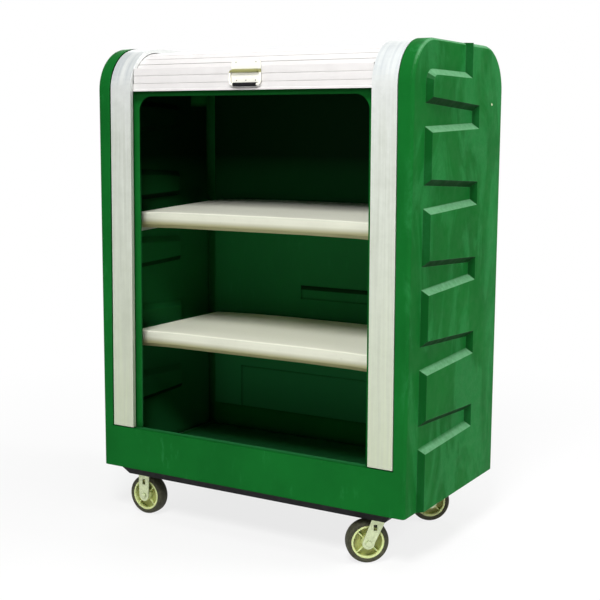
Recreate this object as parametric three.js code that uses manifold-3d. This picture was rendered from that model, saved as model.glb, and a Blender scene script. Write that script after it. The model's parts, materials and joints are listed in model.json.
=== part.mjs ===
// Tambour door cart: a rotomoulded cabinet on four casters. Its slatted door runs in a pair of channels,
// up the front, over the top and down the back.
// Millimetres, +Z up, the front faces -Y. The origin is on the floor, under the middle of the cabinet.
import * as THREE from "three";
import { mergeVertices } from "three/addons/utils/BufferGeometryUtils.js";
import Module from "manifold-3d";

const wasm = await Module();
wasm.setup();

// Shared clearances
const SEAT_GAP = 0.3; // between pieces that rest on each other
const RUNNING_GAP = 0.1; // between a shaft and its bore, all round
const OVERRUN = 6; // how far a cutter passes the surface it cuts
const WELD_DISTANCE = 0.001; // vertices nearer than this are one

// Casters
const WHEEL_DIAMETER = 152.4;
const TYRE_CLEARANCE = 6.6; // tyre's top to the kingpin's head
const TREAD_WIDTH = 50.8;
const TREAD_CROWN = 5; // how much lower the tyre's shoulders are than its middle
const HUB_DIAMETER = 117;
const HUB_WIDTH = 46;
const HUB_RIM = 7;
const HUB_WEB = 8;
const HUB_BOSS_DIAMETER = 44;
const HUB_BOSS_LENGTH = 58;
const SPOKE_COUNT = 4;
const SPOKE_THICKNESS = 5;
const SPOKE_WIDTH = 34;
const AXLE_DIAMETER = 12;
const AXLE_HEAD_DIAMETER = 21;
const AXLE_HEAD_THICKNESS = 6;
const FORK_GAP = 62; // between the inner faces of the legs
const FORK_SHEET = 4;
const LEG_TOP_WIDTH = 52;
const LEG_END_RADIUS = 22;
const LEG_SLOT_WIDTH = 13;
const LEG_SLOT_HEIGHT = 21;
const LEG_SLOT_RISE = 55; // slot centre above the axle
const PLATE_LENGTH = 102;
const PLATE_WIDTH = 114;
const PLATE_THICKNESS = 5;
const PLATE_CORNER = 8;
const BOLT_INSET = 13;
const BOLT_HEAD_DIAMETER = 15;
const BOLT_HEAD_THICKNESS = 5;
const RACEWAY_DIAMETER = 66;
const RACEWAY_HEIGHT = 14.5;
const RACEWAY_GAP = 0.5;
const CROWN_THICKNESS = 5;
const CROWN_HALF_LENGTH = 30;
const KINGPIN_DIAMETER = 12;
const KINGPIN_HEAD_DIAMETER = 20;
const KINGPIN_HEAD_THICKNESS = 6;
const CASTER_TRAIL = 40;
const CASTER_END_INSET = 165; // caster centre in from the cabinet's side
const FRONT_CASTER_INSET = 95;
const BACK_CASTER_INSET = 125;
const SWIVEL_HEADING = THREE.MathUtils.degToRad(218); // where the swivel wheels trail at rest

// Black pan under the cabinet
const PAN_PLATE = 7.4;
const PAN_WALL = 5;
const PAN_DEPTH = 35; // top of the pan to its lower rim
const PAN_SIDE_INSET = 60;
const PAN_END_INSET = 20;
const PAN_SIDE_TAPER = 31; // how far the rim draws in from top to bottom
const PAN_END_TAPER = 20;

// Moulded cabinet
const CABINET_WIDTH = 1340; // across the raised sides, at the bottom
const CABINET_DEPTH = 745;
const CABINET_HEIGHT = 1617; // underside to the top of the ears
const SIDE_LEAN = 13.3; // each side leans out this much from bottom to top
const WALL = 8;
const EAR_RADIUS = 165;
const FRONT_EDGE_RADIUS = 12;
const BACK_EDGE_RADIUS = 20;
const SILL_HEIGHT = 159;
const BACK_SILL_HEIGHT = 120;
const OPENING_SIDE_INSET = 183; // side to the doorway's edge
const HEADER_DROP = 23; // opening's top edge below the start of the ears' curve
const OPENING_RADIUS = 55;

// Side relief: raised boxes with trapezoid pockets between them
const RELIEF = 20;
const RELIEF_SLOPE = 20;
const STRIP_DEPTH = 94; // plain strip behind the front edge
const POCKET_COUNT = 5;
const POCKET_PITCH = 274.4;
const LOWEST_POCKET_RISE = 262; // centre of the lowest pocket above the underside
const POCKET_HEIGHT = 78; // at its mouth
const POCKET_CEILING_FALL = 20; // how far a pocket's ceiling falls towards its back end
const POCKET_FLOOR_RISE = 14;
const POCKET_END = 496; // pocket's back end, from the front
const TOP_POCKET_DROP = 104; // floor of the open top pocket below the ears' top
const TOP_POCKET_END = 425;
const TOP_BOX_RADIUS = 50;

// Panels pressed into the inner face of the back wall
const BACK_PANEL_DEPTH = 5;
const BACK_PANEL_SLOPE = 3;
const UPPER_PANEL_SIDE_INSET = 491; // side to the panel's end
const UPPER_PANEL_HEIGHT = 58;
const UPPER_PANEL_RISE = 632; // its middle above the cabinet's underside
const LOWER_PANEL_SIDE_INSET = 192;
const LOWER_PANEL_HEIGHT = 186;
const LOWER_PANEL_RISE = 197;

// Aluminium channels
const CHANNEL_SIDE_INSET = 162; // side to the channel's inner edge
const CHANNEL_WIDTH = 94;
const CHANNEL_SHEET = 3;
const CHANNEL_SETBACK = 2; // channel face behind the ears' face
const CHANNEL_LIP = 16; // depth of the short inner leg
const CHANNEL_SIDE_GAP = 4;
const RECESS_DEPTH = 30;

// Tambour slats
const SLATS_PER_CURVE = 7.5; // slats that fill each quarter-circle curve
const SLAT_THICKNESS = 8;
const SLAT_BULGE = 0.8;
const SLAT_EDGE_RADIUS = 1.6;
const SLAT_JOINT_GAP = 0.4; // between one slat and the next
const SLAT_END_CLEARANCE = 9; // slat end to the channel's outer leg
const BEAD_RADIUS = 1.4;
const BEAD_REACH = 2.9; // bead centre beyond the slat's end
const NECK_THICKNESS = 1.2;
const SOCKET_GAP = 1.3; // lets the slats fold round the curves
const SOCKET_MOUTH = 2.6;
const GROOVE_DEPTH = 1.6;

// Door panel, the stiff bottom end of the tambour
const DOOR_REST_DROP = 4; // lower edge below the start of the ears' curve
const DOOR_SLATS = 2;
const DOOR_RAIL_HEIGHT = 28;
const DOOR_LIP_HEIGHT = 9;
const DOOR_LIP_DEPTH = 3;
const DOOR_SIDE_CLEARANCE = 3;
const DOOR_BACK_GAP = 0.5;
const CURTAIN_POCKET_DEPTH = 2.6;
const CURTAIN_POCKET_HEIGHT = 24;
const CURTAIN_POCKET_RISE = 34;
const CURTAIN_SHEET = 2;
const CURTAIN_FOLDED = 12;
const CURTAIN_NARROWING = 40;

// Handle on the door panel
const HANDLE_WIDTH = 124;
const HANDLE_HEIGHT = 82;
const HANDLE_RISE = 24; // plate's lower edge above the door's
const HANDLE_SHEET = 2;
const HANDLE_CORNER = 14;
const BARREL_DIAMETER = 13;
const BARREL_LENGTH = 104;
const BARREL_RISE = 42; // barrel axis above the plate's lower edge
const BARREL_STANDOFF = 7.5; // barrel axis in front of the plate
const BAIL_WIRE = 8;
const BAIL_WIDTH = 128; // between the wire's centres
const BAIL_DROP = 48;
const BAIL_BEND = 12;
const BAIL_PIN = 16;
const GRIP_DIAMETER = 14;
const GRIP_LENGTH = 98;
const RIVET_DIAMETER = 6;
const RIVET_HEIGHT = 1.6;
const RIVET_EDGE_INSET = 9;
const UPPER_RIVET_SPACING = 84;
const LOWER_RIVET_SPACING = 40;

// Shelves and the rails that carry them
const SHELF_SIDE_GAP = 85; // cabinet's side to the shelf's end
const SHELF_FRONT = 90;
const SHELF_BACK_GAP = 22;
const SHELF_THICKNESS = 60;
const SHELF_WALL = 7;
const SHELF_LIP = 5; // front lip above the deck
const SHELF_LIP_DEPTH = 26;
const SHELF_NOSE = 14;
const SHELF_BEVEL = 14;
const SHELF_CORNER = 22;
const SHELF_CAMBER = 8; // how far the deck's middle stands above its ends
const SHELF_RIB_COUNT = 3;
const SHELF_RIB_HEIGHT = 14;
const UPPER_SHELF_RISE = 994; // top of the shelf's front lip above the cabinet's underside
const LOWER_SHELF_RISE = 532;
const UPPER_SHELF_SLOPE_RISE = 28; // back edge above the front edge
const LOWER_SHELF_SLOPE_RISE = 0;
const RAIL_LEG = 36;
const RAIL_REACH = 28; // how far the foot reaches under the shelf
const RAIL_SHEET = 3;
const RAIL_LENGTH = 500;
const RAIL_FRONT = 150;

// Facets
const ARC_STEPS = 14;
const CORNER_STEPS = 4;
const WHEEL_FACETS = 32;
const HUB_FACETS = 24;
const SLAT_STEPS = 3;
const SHAFT_FACETS = 20;
const HEX_FACETS = 6;
const WIRE_FACETS = 8;
const RIVET_FACETS = 8;
const BAIL_STEPS = 36;
const CAMBER_STEPS = 3; // on each side of the flat middle
const QUARTER_TURN = Math.PI / 2;

// Heights and places that follow from the sizes above
const AXLE_HEIGHT = WHEEL_DIAMETER / 2;
const RACEWAY_STACK = CROWN_THICKNESS + RACEWAY_GAP + RACEWAY_HEIGHT + PLATE_THICKNESS;
const CASTER_HEIGHT = WHEEL_DIAMETER + TYRE_CLEARANCE + KINGPIN_HEAD_THICKNESS + RACEWAY_STACK;
const PAN_TOP = CASTER_HEIGHT + SEAT_GAP + PAN_PLATE;
const CABINET_BOTTOM = PAN_TOP + SEAT_GAP;
const CABINET_TOP = CABINET_BOTTOM + CABINET_HEIGHT;
const CURVE_START = CABINET_TOP - EAR_RADIUS;
const SILL_TOP = CABINET_BOTTOM + SILL_HEIGHT;
const BACK_SILL_TOP = CABINET_BOTTOM + BACK_SILL_HEIGHT;
const OPENING_TOP = CURVE_START - HEADER_DROP;
const HALF_WIDTH = CABINET_WIDTH / 2;
const CHANNEL_INNER = HALF_WIDTH - CHANNEL_SIDE_INSET;
const CHANNEL_OUTER = CHANNEL_INNER + CHANNEL_WIDTH;
const RECESS_HALF = CHANNEL_OUTER + CHANNEL_SIDE_GAP;
const SLAT_HALF = CHANNEL_OUTER - CHANNEL_SHEET - SLAT_END_CLEARANCE;
const SLAT_BACK_DEPTH = RECESS_DEPTH - SEAT_GAP;
const CURVE_BACK_RADIUS = EAR_RADIUS - SLAT_BACK_DEPTH; // to the back face of the slats in the curves
const SLAT_ANGLE = QUARTER_TURN / SLATS_PER_CURVE;
const SLAT_PITCH = 2 * CURVE_BACK_RADIUS * Math.tan(SLAT_ANGLE / 2);
const SLAT_LENGTH = SLAT_PITCH - SLAT_JOINT_GAP;
const DOOR_BOTTOM = CURVE_START - DOOR_REST_DROP;
const DOOR_HEIGHT = DOOR_RAIL_HEIGHT + DOOR_SLATS * SLAT_PITCH;
const DOOR_BACK = RECESS_DEPTH - DOOR_BACK_GAP;
const DOOR_FRONT = DOOR_BACK - SLAT_THICKNESS;
const CURTAIN_FIXED_END = DOOR_BOTTOM + CURTAIN_POCKET_RISE + CURTAIN_POCKET_HEIGHT - SEAT_GAP;
const TAIL_BOTTOM = BACK_SILL_TOP + SLAT_JOINT_GAP;
const TAIL_TOP = TAIL_BOTTOM + SLAT_LENGTH;
const OPENING_WIDTH = CABINET_WIDTH - 2 * OPENING_SIDE_INSET;
const SHELF_WIDTH = CABINET_WIDTH - 2 * SHELF_SIDE_GAP;
const SHELF_BACK = CABINET_DEPTH - RECESS_DEPTH - WALL - SHELF_BACK_GAP;

const materials = {
  green: new THREE.MeshStandardMaterial({ color: 0x14642a, roughness: 0.5, metalness: 0 }),
  black: new THREE.MeshStandardMaterial({ color: 0x17171a, roughness: 0.7, metalness: 0 }),
  aluminium: new THREE.MeshStandardMaterial({ color: 0xd4d6ca, roughness: 0.4, metalness: 0.8 }),
  white: new THREE.MeshStandardMaterial({ color: 0xf4f4f0, roughness: 0.5, metalness: 0 }),
  cream: new THREE.MeshStandardMaterial({ color: 0xe6e2d2, roughness: 0.6, metalness: 0 }),
  nylon: new THREE.MeshStandardMaterial({ color: 0xe9eda8, roughness: 0.5, metalness: 0 }),
  rubber: new THREE.MeshStandardMaterial({ color: 0x34342c, roughness: 0.9, metalness: 0 }),
  zinc: new THREE.MeshStandardMaterial({ color: 0xbfc8a6, roughness: 0.4, metalness: 0.9 }),
};

// A closed three.js geometry as a solid for joins and cuts.
function solidOf(geometry) {
  const bare = geometry.index ? geometry.toNonIndexed() : geometry.clone();
  bare.deleteAttribute("normal");
  bare.deleteAttribute("uv");
  const merged = mergeVertices(bare, WELD_DISTANCE);
  const solid = new wasm.Manifold(
    new wasm.Mesh({
      numProp: 3,
      vertProperties: new Float32Array(merged.attributes.position.array),
      triVerts: new Uint32Array(merged.index.array),
    }),
  );
  return solid;
}

function geometryOf(solid) {
  const mesh = solid.getMesh();
  const geometry = new THREE.BufferGeometry();
  const places = new Float32Array(mesh.numVert * 3);
  for (let vertex = 0; vertex < mesh.numVert; vertex += 1) {
    const first = vertex * mesh.numProp;
    places.set(mesh.vertProperties.subarray(first, first + 3), vertex * 3);
  }
  geometry.setAttribute("position", new THREE.BufferAttribute(places, 3));
  geometry.setIndex(new THREE.BufferAttribute(new Uint32Array(mesh.triVerts), 1));
  const faceted = geometry.toNonIndexed();
  faceted.computeVertexNormals();
  return faceted;
}

function joined(solids) {
  return solids.reduce((whole, next) => whole.add(next));
}

function cutBy(solid, cutters) {
  return cutters.reduce((rest, cutter) => rest.subtract(cutter), solid);
}

function piece(name, solid, material) {
  const mesh = new THREE.Mesh(geometryOf(solid), material);
  mesh.name = name;
  return mesh;
}

// An outline drawn in x and y, raised from z = low to z = high.
function alongZ(shape, low, high, steps = CORNER_STEPS) {
  const geometry = new THREE.ExtrudeGeometry(shape, {
    depth: high - low,
    bevelEnabled: false,
    curveSegments: steps,
  });
  return solidOf(geometry.translate(0, 0, low));
}

// An outline drawn in y and z, drawn out from x = low to x = high.
function alongX(shape, low, high, steps = CORNER_STEPS) {
  const geometry = new THREE.ExtrudeGeometry(shape, {
    depth: high - low,
    bevelEnabled: false,
    curveSegments: steps,
  });
  geometry.translate(0, 0, low);
  const turn = new THREE.Matrix4().makeBasis(
    new THREE.Vector3(0, 1, 0),
    new THREE.Vector3(0, 0, 1),
    new THREE.Vector3(1, 0, 0),
  );
  return solidOf(geometry.applyMatrix4(turn));
}

// An outline drawn in x and z, drawn out from y = low to y = high.
function alongY(shape, low, high, steps = CORNER_STEPS) {
  const geometry = new THREE.ExtrudeGeometry(shape, {
    depth: high - low,
    bevelEnabled: false,
    curveSegments: steps,
  });
  geometry.translate(0, 0, -high);
  return solidOf(geometry.rotateX(QUARTER_TURN));
}

// A rectangle with its own radius at the low and at the high corners.
function roundedRectangle(left, right, low, high, lowRadius, highRadius) {
  const shape = new THREE.Shape();
  shape.moveTo(left + lowRadius, low);
  shape.lineTo(right - lowRadius, low);
  if (lowRadius > 0) {
    shape.absarc(right - lowRadius, low + lowRadius, lowRadius, -QUARTER_TURN, 0);
  }
  shape.lineTo(right, high - highRadius);
  if (highRadius > 0) {
    shape.absarc(right - highRadius, high - highRadius, highRadius, 0, QUARTER_TURN);
  }
  shape.lineTo(left + highRadius, high);
  if (highRadius > 0) {
    shape.absarc(left + highRadius, high - highRadius, highRadius, QUARTER_TURN, Math.PI);
  }
  shape.lineTo(left, low + lowRadius);
  if (lowRadius > 0) {
    shape.absarc(left + lowRadius, low + lowRadius, lowRadius, Math.PI, Math.PI + QUARTER_TURN);
  }
  return shape;
}

function boxSolid(size, centre) {
  const geometry = new THREE.BoxGeometry(size.x, size.y, size.z);
  return solidOf(geometry.translate(centre.x, centre.y, centre.z));
}

// A round bar on the z axis from low to high.
function barZ(radius, low, high, facets) {
  const geometry = new THREE.CylinderGeometry(radius, radius, high - low, facets);
  geometry.rotateX(QUARTER_TURN);
  return solidOf(geometry.translate(0, 0, (low + high) / 2));
}

// A round bar parallel to the y axis through (x, z).
function barY(radius, low, high, facets, x, z) {
  const geometry = new THREE.CylinderGeometry(radius, radius, high - low, facets);
  return solidOf(geometry.translate(x, (low + high) / 2, z));
}

// A round bar parallel to the x axis through (y, z).
function barX(radius, low, high, facets, y, z) {
  const geometry = new THREE.CylinderGeometry(radius, radius, high - low, facets);
  geometry.rotateZ(QUARTER_TURN);
  return solidOf(geometry.translate((low + high) / 2, y, z));
}

function signedArea(ring) {
  return THREE.ShapeUtils.area(ring);
}

// Triangles that close one end of a loft, wound along the ring or against it.
function endTriangles(ring, flatten, offset, along) {
  const flat = ring.map(flatten);
  const ringSign = Math.sign(signedArea(flat));
  return THREE.ShapeUtils.triangulateShape(flat, []).flatMap(([a, b, c]) => {
    const sign = Math.sign(signedArea([flat[a], flat[b], flat[c]]));
    const keep = (sign === ringSign) === along;
    return keep ? [a + offset, b + offset, c + offset] : [a + offset, c + offset, b + offset];
  });
}

function volumeSign(points, faces) {
  let sum = 0;
  for (let i = 0; i < faces.length; i += 3) {
    const [a, b, c] = [points[faces[i]], points[faces[i + 1]], points[faces[i + 2]]];
    sum += a.dot(new THREE.Vector3().crossVectors(b, c));
  }
  return Math.sign(sum);
}

// A closed skin through rings with equally many points. flatten gives an end ring's flat outline.
function loft(rings, flatten, flattenLast = flatten) {
  const count = rings[0].length;
  const points = rings.flat();
  const lastOffset = (rings.length - 1) * count;
  const faces = [
    ...endTriangles(rings[0], flatten, 0, false),
    ...endTriangles(rings[rings.length - 1], flattenLast, lastOffset, true),
  ];
  for (let ring = 0; ring < rings.length - 1; ring += 1) {
    for (let i = 0; i < count; i += 1) {
      const j = (i + 1) % count;
      const [a, b] = [ring * count + i, ring * count + j];
      faces.push(a, b, b + count, a, b + count, a + count);
    }
  }
  if (volumeSign(points, faces) < 0) {
    faces.reverse();
  }
  const geometry = new THREE.BufferGeometry();
  geometry.setAttribute("position", new THREE.Float32BufferAttribute(points.flatMap((p) => p.toArray()), 3));
  geometry.setIndex(faces);
  return solidOf(geometry);
}

const flatXY = (point) => new THREE.Vector2(point.x, point.y);
const flatXZ = (point) => new THREE.Vector2(point.x, point.z);
const flatYZ = (point) => new THREE.Vector2(point.y, point.z);

// How far a side leans out at a height.
function leanAt(z) {
  return (SIDE_LEAN * (z - CABINET_BOTTOM)) / CABINET_HEIGHT;
}

function raisedHalfAt(z) {
  return HALF_WIDTH + leanAt(z);
}

function baseHalfAt(z) {
  return raisedHalfAt(z) - RELIEF;
}

// Stations along the cabinet's edge seen from the side: up the front, over the top, down the back.
// Each holds a place on the ears' outline and the direction into the cabinet.
function rimPath(frontZ, backZ) {
  const stations = [{ y: 0, z: frontZ, inY: 1, inZ: 0 }];
  for (let step = 0; step <= ARC_STEPS; step += 1) {
    const angle = (QUARTER_TURN * step) / ARC_STEPS;
    stations.push({
      y: EAR_RADIUS - EAR_RADIUS * Math.cos(angle),
      z: CURVE_START + EAR_RADIUS * Math.sin(angle),
      inY: Math.cos(angle),
      inZ: -Math.sin(angle),
    });
  }
  for (let step = ARC_STEPS; step >= 0; step -= 1) {
    const angle = (QUARTER_TURN * step) / ARC_STEPS;
    stations.push({
      y: CABINET_DEPTH - EAR_RADIUS + EAR_RADIUS * Math.cos(angle),
      z: CURVE_START + EAR_RADIUS * Math.sin(angle),
      inY: -Math.cos(angle),
      inZ: -Math.sin(angle),
    });
  }
  stations.push({ y: CABINET_DEPTH, z: backZ, inY: -1, inZ: 0 });
  return stations;
}

// Sweeps a section of [x, depth] points along the rim. shift moves x with the height.
function sweptAlongRim(section, stations, shift = () => 0) {
  const rings = stations.map((station) =>
    section.map(
      ([x, depth]) =>
        new THREE.Vector3(x + shift(station.z), station.y + station.inY * depth, station.z + station.inZ * depth),
    ),
  );
  const flattenAt = (station) => (point) =>
    new THREE.Vector2(point.x, (point.y - station.y) * station.inY + (point.z - station.z) * station.inZ);
  return loft(rings, flattenAt(stations[0]), flattenAt(stations[stations.length - 1]));
}

function mirrored(solid) {
  return solid.mirror([1, 0, 0]);
}

// The cabinet's outline from the side, drawn in by inset.
function sideOutline(inset) {
  return roundedRectangle(
    inset,
    CABINET_DEPTH - inset,
    CABINET_BOTTOM + inset,
    CABINET_TOP - inset,
    0,
    EAR_RADIUS - inset,
  );
}

// The plain block inside both leaning sides, drawn in by inset.
function leaningBlock(inset) {
  const ringAt = (z) => {
    const half = raisedHalfAt(z) - inset;
    const back = CABINET_DEPTH + OVERRUN;
    return [
      new THREE.Vector3(-half, -OVERRUN, z),
      new THREE.Vector3(half, -OVERRUN, z),
      new THREE.Vector3(half, back, z),
      new THREE.Vector3(-half, back, z),
    ];
  };
  const wedge = loft([ringAt(CABINET_BOTTOM - OVERRUN), ringAt(CABINET_TOP + OVERRUN)], flatXY);
  return alongX(sideOutline(inset), -CABINET_WIDTH, CABINET_WIDTH, ARC_STEPS).intersect(wedge);
}

// Outline of the low ground of one side, a comb with its fingers towards the back. grow widens it.
function combOutline(grow) {
  const low = CABINET_BOTTOM - OVERRUN - EAR_RADIUS;
  const high = CABINET_TOP + OVERRUN + EAR_RADIUS;
  const strip = STRIP_DEPTH + grow;
  const floor = CABINET_TOP - TOP_POCKET_DROP - grow;
  const radius = TOP_BOX_RADIUS - grow;
  const points = [
    [-EAR_RADIUS, low],
    [-EAR_RADIUS, high],
    [TOP_POCKET_END + grow, high],
    [TOP_POCKET_END + grow, floor],
  ];
  for (let step = 0; step <= CORNER_STEPS; step += 1) {
    const angle = (QUARTER_TURN * step) / CORNER_STEPS;
    points.push([strip + radius - radius * Math.sin(angle), floor - radius + radius * Math.cos(angle)]);
  }
  for (let pocket = POCKET_COUNT - 1; pocket >= 0; pocket -= 1) {
    const centre = CABINET_BOTTOM + LOWEST_POCKET_RISE + pocket * POCKET_PITCH;
    const half = POCKET_HEIGHT / 2 + grow;
    points.push([strip, centre + half], [POCKET_END + grow, centre + half - POCKET_CEILING_FALL]);
    points.push([POCKET_END + grow, centre - half + POCKET_FLOOR_RISE], [strip, centre - half]);
  }
  points.push([strip, low]);
  return points;
}

// What is taken off the right side to leave its raised boxes. grow widens the comb and deepens it.
function sideRelief(grow) {
  const slopePerDepth = RELIEF_SLOPE / RELIEF;
  const ringAt = (depth) =>
    combOutline(grow + (depth + grow) * slopePerDepth).map(
      ([y, z]) => new THREE.Vector3(baseHalfAt(z) + depth, y, z),
    );
  return loft([ringAt(-grow), ringAt(RELIEF + OVERRUN)], flatYZ);
}

// The rounded outer edge of an ear: the waste outside a quarter circle, swept along the rim.
function edgeWaste(radius, halfAt, stations) {
  const section = [
    [-radius, -OVERRUN],
    [OVERRUN, -OVERRUN],
    [OVERRUN, radius],
  ];
  for (let step = 0; step <= CORNER_STEPS; step += 1) {
    const angle = (QUARTER_TURN * step) / CORNER_STEPS;
    section.push([-radius + radius * Math.cos(angle), radius - radius * Math.sin(angle)]);
  }
  return sweptAlongRim(section, stations, halfAt);
}

function edgeWastes() {
  const rim = rimPath(CABINET_BOTTOM - OVERRUN, CABINET_BOTTOM - OVERRUN);
  const middle = ARC_STEPS + 2;
  const lastFront = { y: TOP_POCKET_END, z: CABINET_TOP, inY: 0, inZ: -1 };
  const firstBack = { ...lastFront, y: TOP_POCKET_END + RELIEF_SLOPE };
  const front = edgeWaste(FRONT_EDGE_RADIUS, baseHalfAt, [...rim.slice(0, middle), lastFront]);
  const back = edgeWaste(BACK_EDGE_RADIUS, raisedHalfAt, [firstBack, ...rim.slice(middle)]);
  return [front, back, mirrored(front), mirrored(back)];
}

// The recess that the tambour and its channels run in. grow widens it on every side.
function channelRecess(grow) {
  const half = RECESS_HALF + grow;
  const section = [
    [-half, -OVERRUN],
    [half, -OVERRUN],
    [half, RECESS_DEPTH + grow],
    [-half, RECESS_DEPTH + grow],
  ];
  return sweptAlongRim(section, rimPath(SILL_TOP - grow, BACK_SILL_TOP - grow));
}

// A shallow panel pressed into the inner face of the back wall.
function backPanel(sideInset, height, rise) {
  const wall = CABINET_DEPTH - RECESS_DEPTH - WALL;
  const centre = CABINET_BOTTOM + rise;
  const ringAt = (y, inset) => {
    const half = HALF_WIDTH - sideInset - inset;
    const reach = height / 2 - inset;
    return [
      new THREE.Vector3(-half, y, centre - reach),
      new THREE.Vector3(half, y, centre - reach),
      new THREE.Vector3(half, y, centre + reach),
      new THREE.Vector3(-half, y, centre + reach),
    ];
  };
  const rings = [ringAt(wall - OVERRUN, 0), ringAt(wall, 0), ringAt(wall + BACK_PANEL_DEPTH, BACK_PANEL_SLOPE)];
  return loft(rings, flatXZ);
}

function backPanels() {
  return [
    backPanel(UPPER_PANEL_SIDE_INSET, UPPER_PANEL_HEIGHT, UPPER_PANEL_RISE),
    backPanel(LOWER_PANEL_SIDE_INSET, LOWER_PANEL_HEIGHT, LOWER_PANEL_RISE),
  ];
}

function doorway() {
  const outline = roundedRectangle(
    -OPENING_WIDTH / 2,
    OPENING_WIDTH / 2,
    SILL_TOP,
    OPENING_TOP,
    0,
    OPENING_RADIUS,
  );
  return alongY(outline, RECESS_DEPTH - OVERRUN, RECESS_DEPTH + WALL + OVERRUN, ARC_STEPS / 2);
}

// The space inside the moulding, drawn in by gap from its walls.
function cabinetSpace(gap) {
  const relief = sideRelief(WALL + gap);
  return cutBy(leaningBlock(WALL + gap), [relief, mirrored(relief), channelRecess(WALL + gap)]);
}

// The one-piece moulding: thin walls that follow the relief, so each pocket is a rib inside.
function cabinetShell() {
  const relief = sideRelief(0);
  const outside = cutBy(leaningBlock(0), [relief, mirrored(relief), ...edgeWastes(), channelRecess(0)]);
  const walls = cutBy(outside, [cabinetSpace(0), doorway(), ...backPanels()]);
  return piece("cabinet_shell", walls, materials.green);
}

// A shallow black pan with drawn-in sides, open below.
function basePan() {
  const halfTop = HALF_WIDTH - PAN_SIDE_INSET - RELIEF;
  const front = PAN_END_INSET;
  const back = CABINET_DEPTH - PAN_END_INSET;
  const rim = PAN_TOP - PAN_DEPTH;
  const ringAt = (z, inset) => {
    const fall = (PAN_TOP - z) / PAN_DEPTH;
    const half = halfTop - PAN_SIDE_TAPER * fall - inset;
    const drawn = PAN_END_TAPER * fall + inset;
    return [
      new THREE.Vector3(-half, front + drawn, z),
      new THREE.Vector3(half, front + drawn, z),
      new THREE.Vector3(half, back - drawn, z),
      new THREE.Vector3(-half, back - drawn, z),
    ];
  };
  const outside = loft([ringAt(rim, 0), ringAt(PAN_TOP, 0)], flatXY);
  const hollow = loft([ringAt(rim - OVERRUN, PAN_WALL), ringAt(PAN_TOP - PAN_PLATE, PAN_WALL)], flatXY);
  return piece("base_pan", outside.subtract(hollow), materials.black);
}

// One aluminium channel: a broad face, a short inner leg and a long outer leg that seats in the recess.
function channel(name, side) {
  const face = CHANNEL_SETBACK;
  const inner = CHANNEL_INNER;
  const outer = CHANNEL_OUTER;
  const section = [
    [inner, face],
    [outer, face],
    [outer, SLAT_BACK_DEPTH],
    [outer - CHANNEL_SHEET, SLAT_BACK_DEPTH],
    [outer - CHANNEL_SHEET, face + CHANNEL_SHEET],
    [inner + CHANNEL_SHEET, face + CHANNEL_SHEET],
    [inner + CHANNEL_SHEET, face + CHANNEL_LIP],
    [inner, face + CHANNEL_LIP],
  ].map(([x, depth]) => [side * x, depth]);
  const rail = sweptAlongRim(section, rimPath(SILL_TOP + CHANNEL_SIDE_GAP, BACK_SILL_TOP + SEAT_GAP));
  return piece(name, rail, materials.aluminium);
}

// Outline of one slat: along its path and outwards, from the middle of its back face.
// One end carries a bead on a neck, the other a socket that takes the next slat's bead.
function slatOutline(hasBead) {
  const half = SLAT_LENGTH / 2;
  const middle = SLAT_THICKNESS / 2;
  const socket = BEAD_RADIUS + SOCKET_GAP;
  const socketCentre = -half - SLAT_JOINT_GAP + BEAD_REACH;
  const beadCentre = half + BEAD_REACH;
  const mouthAngle = Math.asin(SOCKET_MOUTH / 2 / socket);
  const neckAngle = Math.asin(NECK_THICKNESS / 2 / BEAD_RADIUS);
  const shape = new THREE.Shape();
  shape.moveTo(-half, 0);
  shape.lineTo(half, 0);
  if (hasBead) {
    shape.lineTo(half, middle - NECK_THICKNESS / 2);
    shape.absarc(beadCentre, middle, BEAD_RADIUS, neckAngle - Math.PI, Math.PI - neckAngle);
    shape.lineTo(half, middle + NECK_THICKNESS / 2);
  }
  shape.lineTo(half, SLAT_THICKNESS - SLAT_EDGE_RADIUS);
  shape.quadraticCurveTo(half, SLAT_THICKNESS, half - SLAT_EDGE_RADIUS, SLAT_THICKNESS);
  shape.quadraticCurveTo(0, SLAT_THICKNESS + 2 * SLAT_BULGE, SLAT_EDGE_RADIUS - half, SLAT_THICKNESS);
  shape.quadraticCurveTo(-half, SLAT_THICKNESS, -half, SLAT_THICKNESS - SLAT_EDGE_RADIUS);
  shape.lineTo(-half, middle + SOCKET_MOUTH / 2);
  shape.absarc(socketCentre, middle, socket, Math.PI - mouthAngle, mouthAngle - Math.PI, true);
  shape.lineTo(-half, middle - SOCKET_MOUTH / 2);
  return shape;
}

function slatSolid(hasBead) {
  const geometry = new THREE.ExtrudeGeometry(slatOutline(hasBead), {
    depth: 2 * SLAT_HALF,
    bevelEnabled: false,
    curveSegments: SLAT_STEPS,
  });
  geometry.translate(0, 0, -SLAT_HALF);
  return solidOf(geometry);
}

// Places a slat on a curve: its back face touches the curve at the angle, its bead points down the door's way.
function slatOnCurve(slat, centreY, angle, towardsBack) {
  const outwards = new THREE.Vector3(0, towardsBack * Math.cos(angle), Math.sin(angle));
  const along = new THREE.Vector3(0, towardsBack * Math.sin(angle), -Math.cos(angle));
  const across = new THREE.Vector3().crossVectors(along, outwards);
  const place = new THREE.Matrix4().makeBasis(along, outwards, across);
  place.setPosition(
    0,
    centreY + outwards.y * CURVE_BACK_RADIUS,
    CURVE_START + outwards.z * CURVE_BACK_RADIUS,
  );
  return slat.transform(place.toArray());
}

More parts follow.
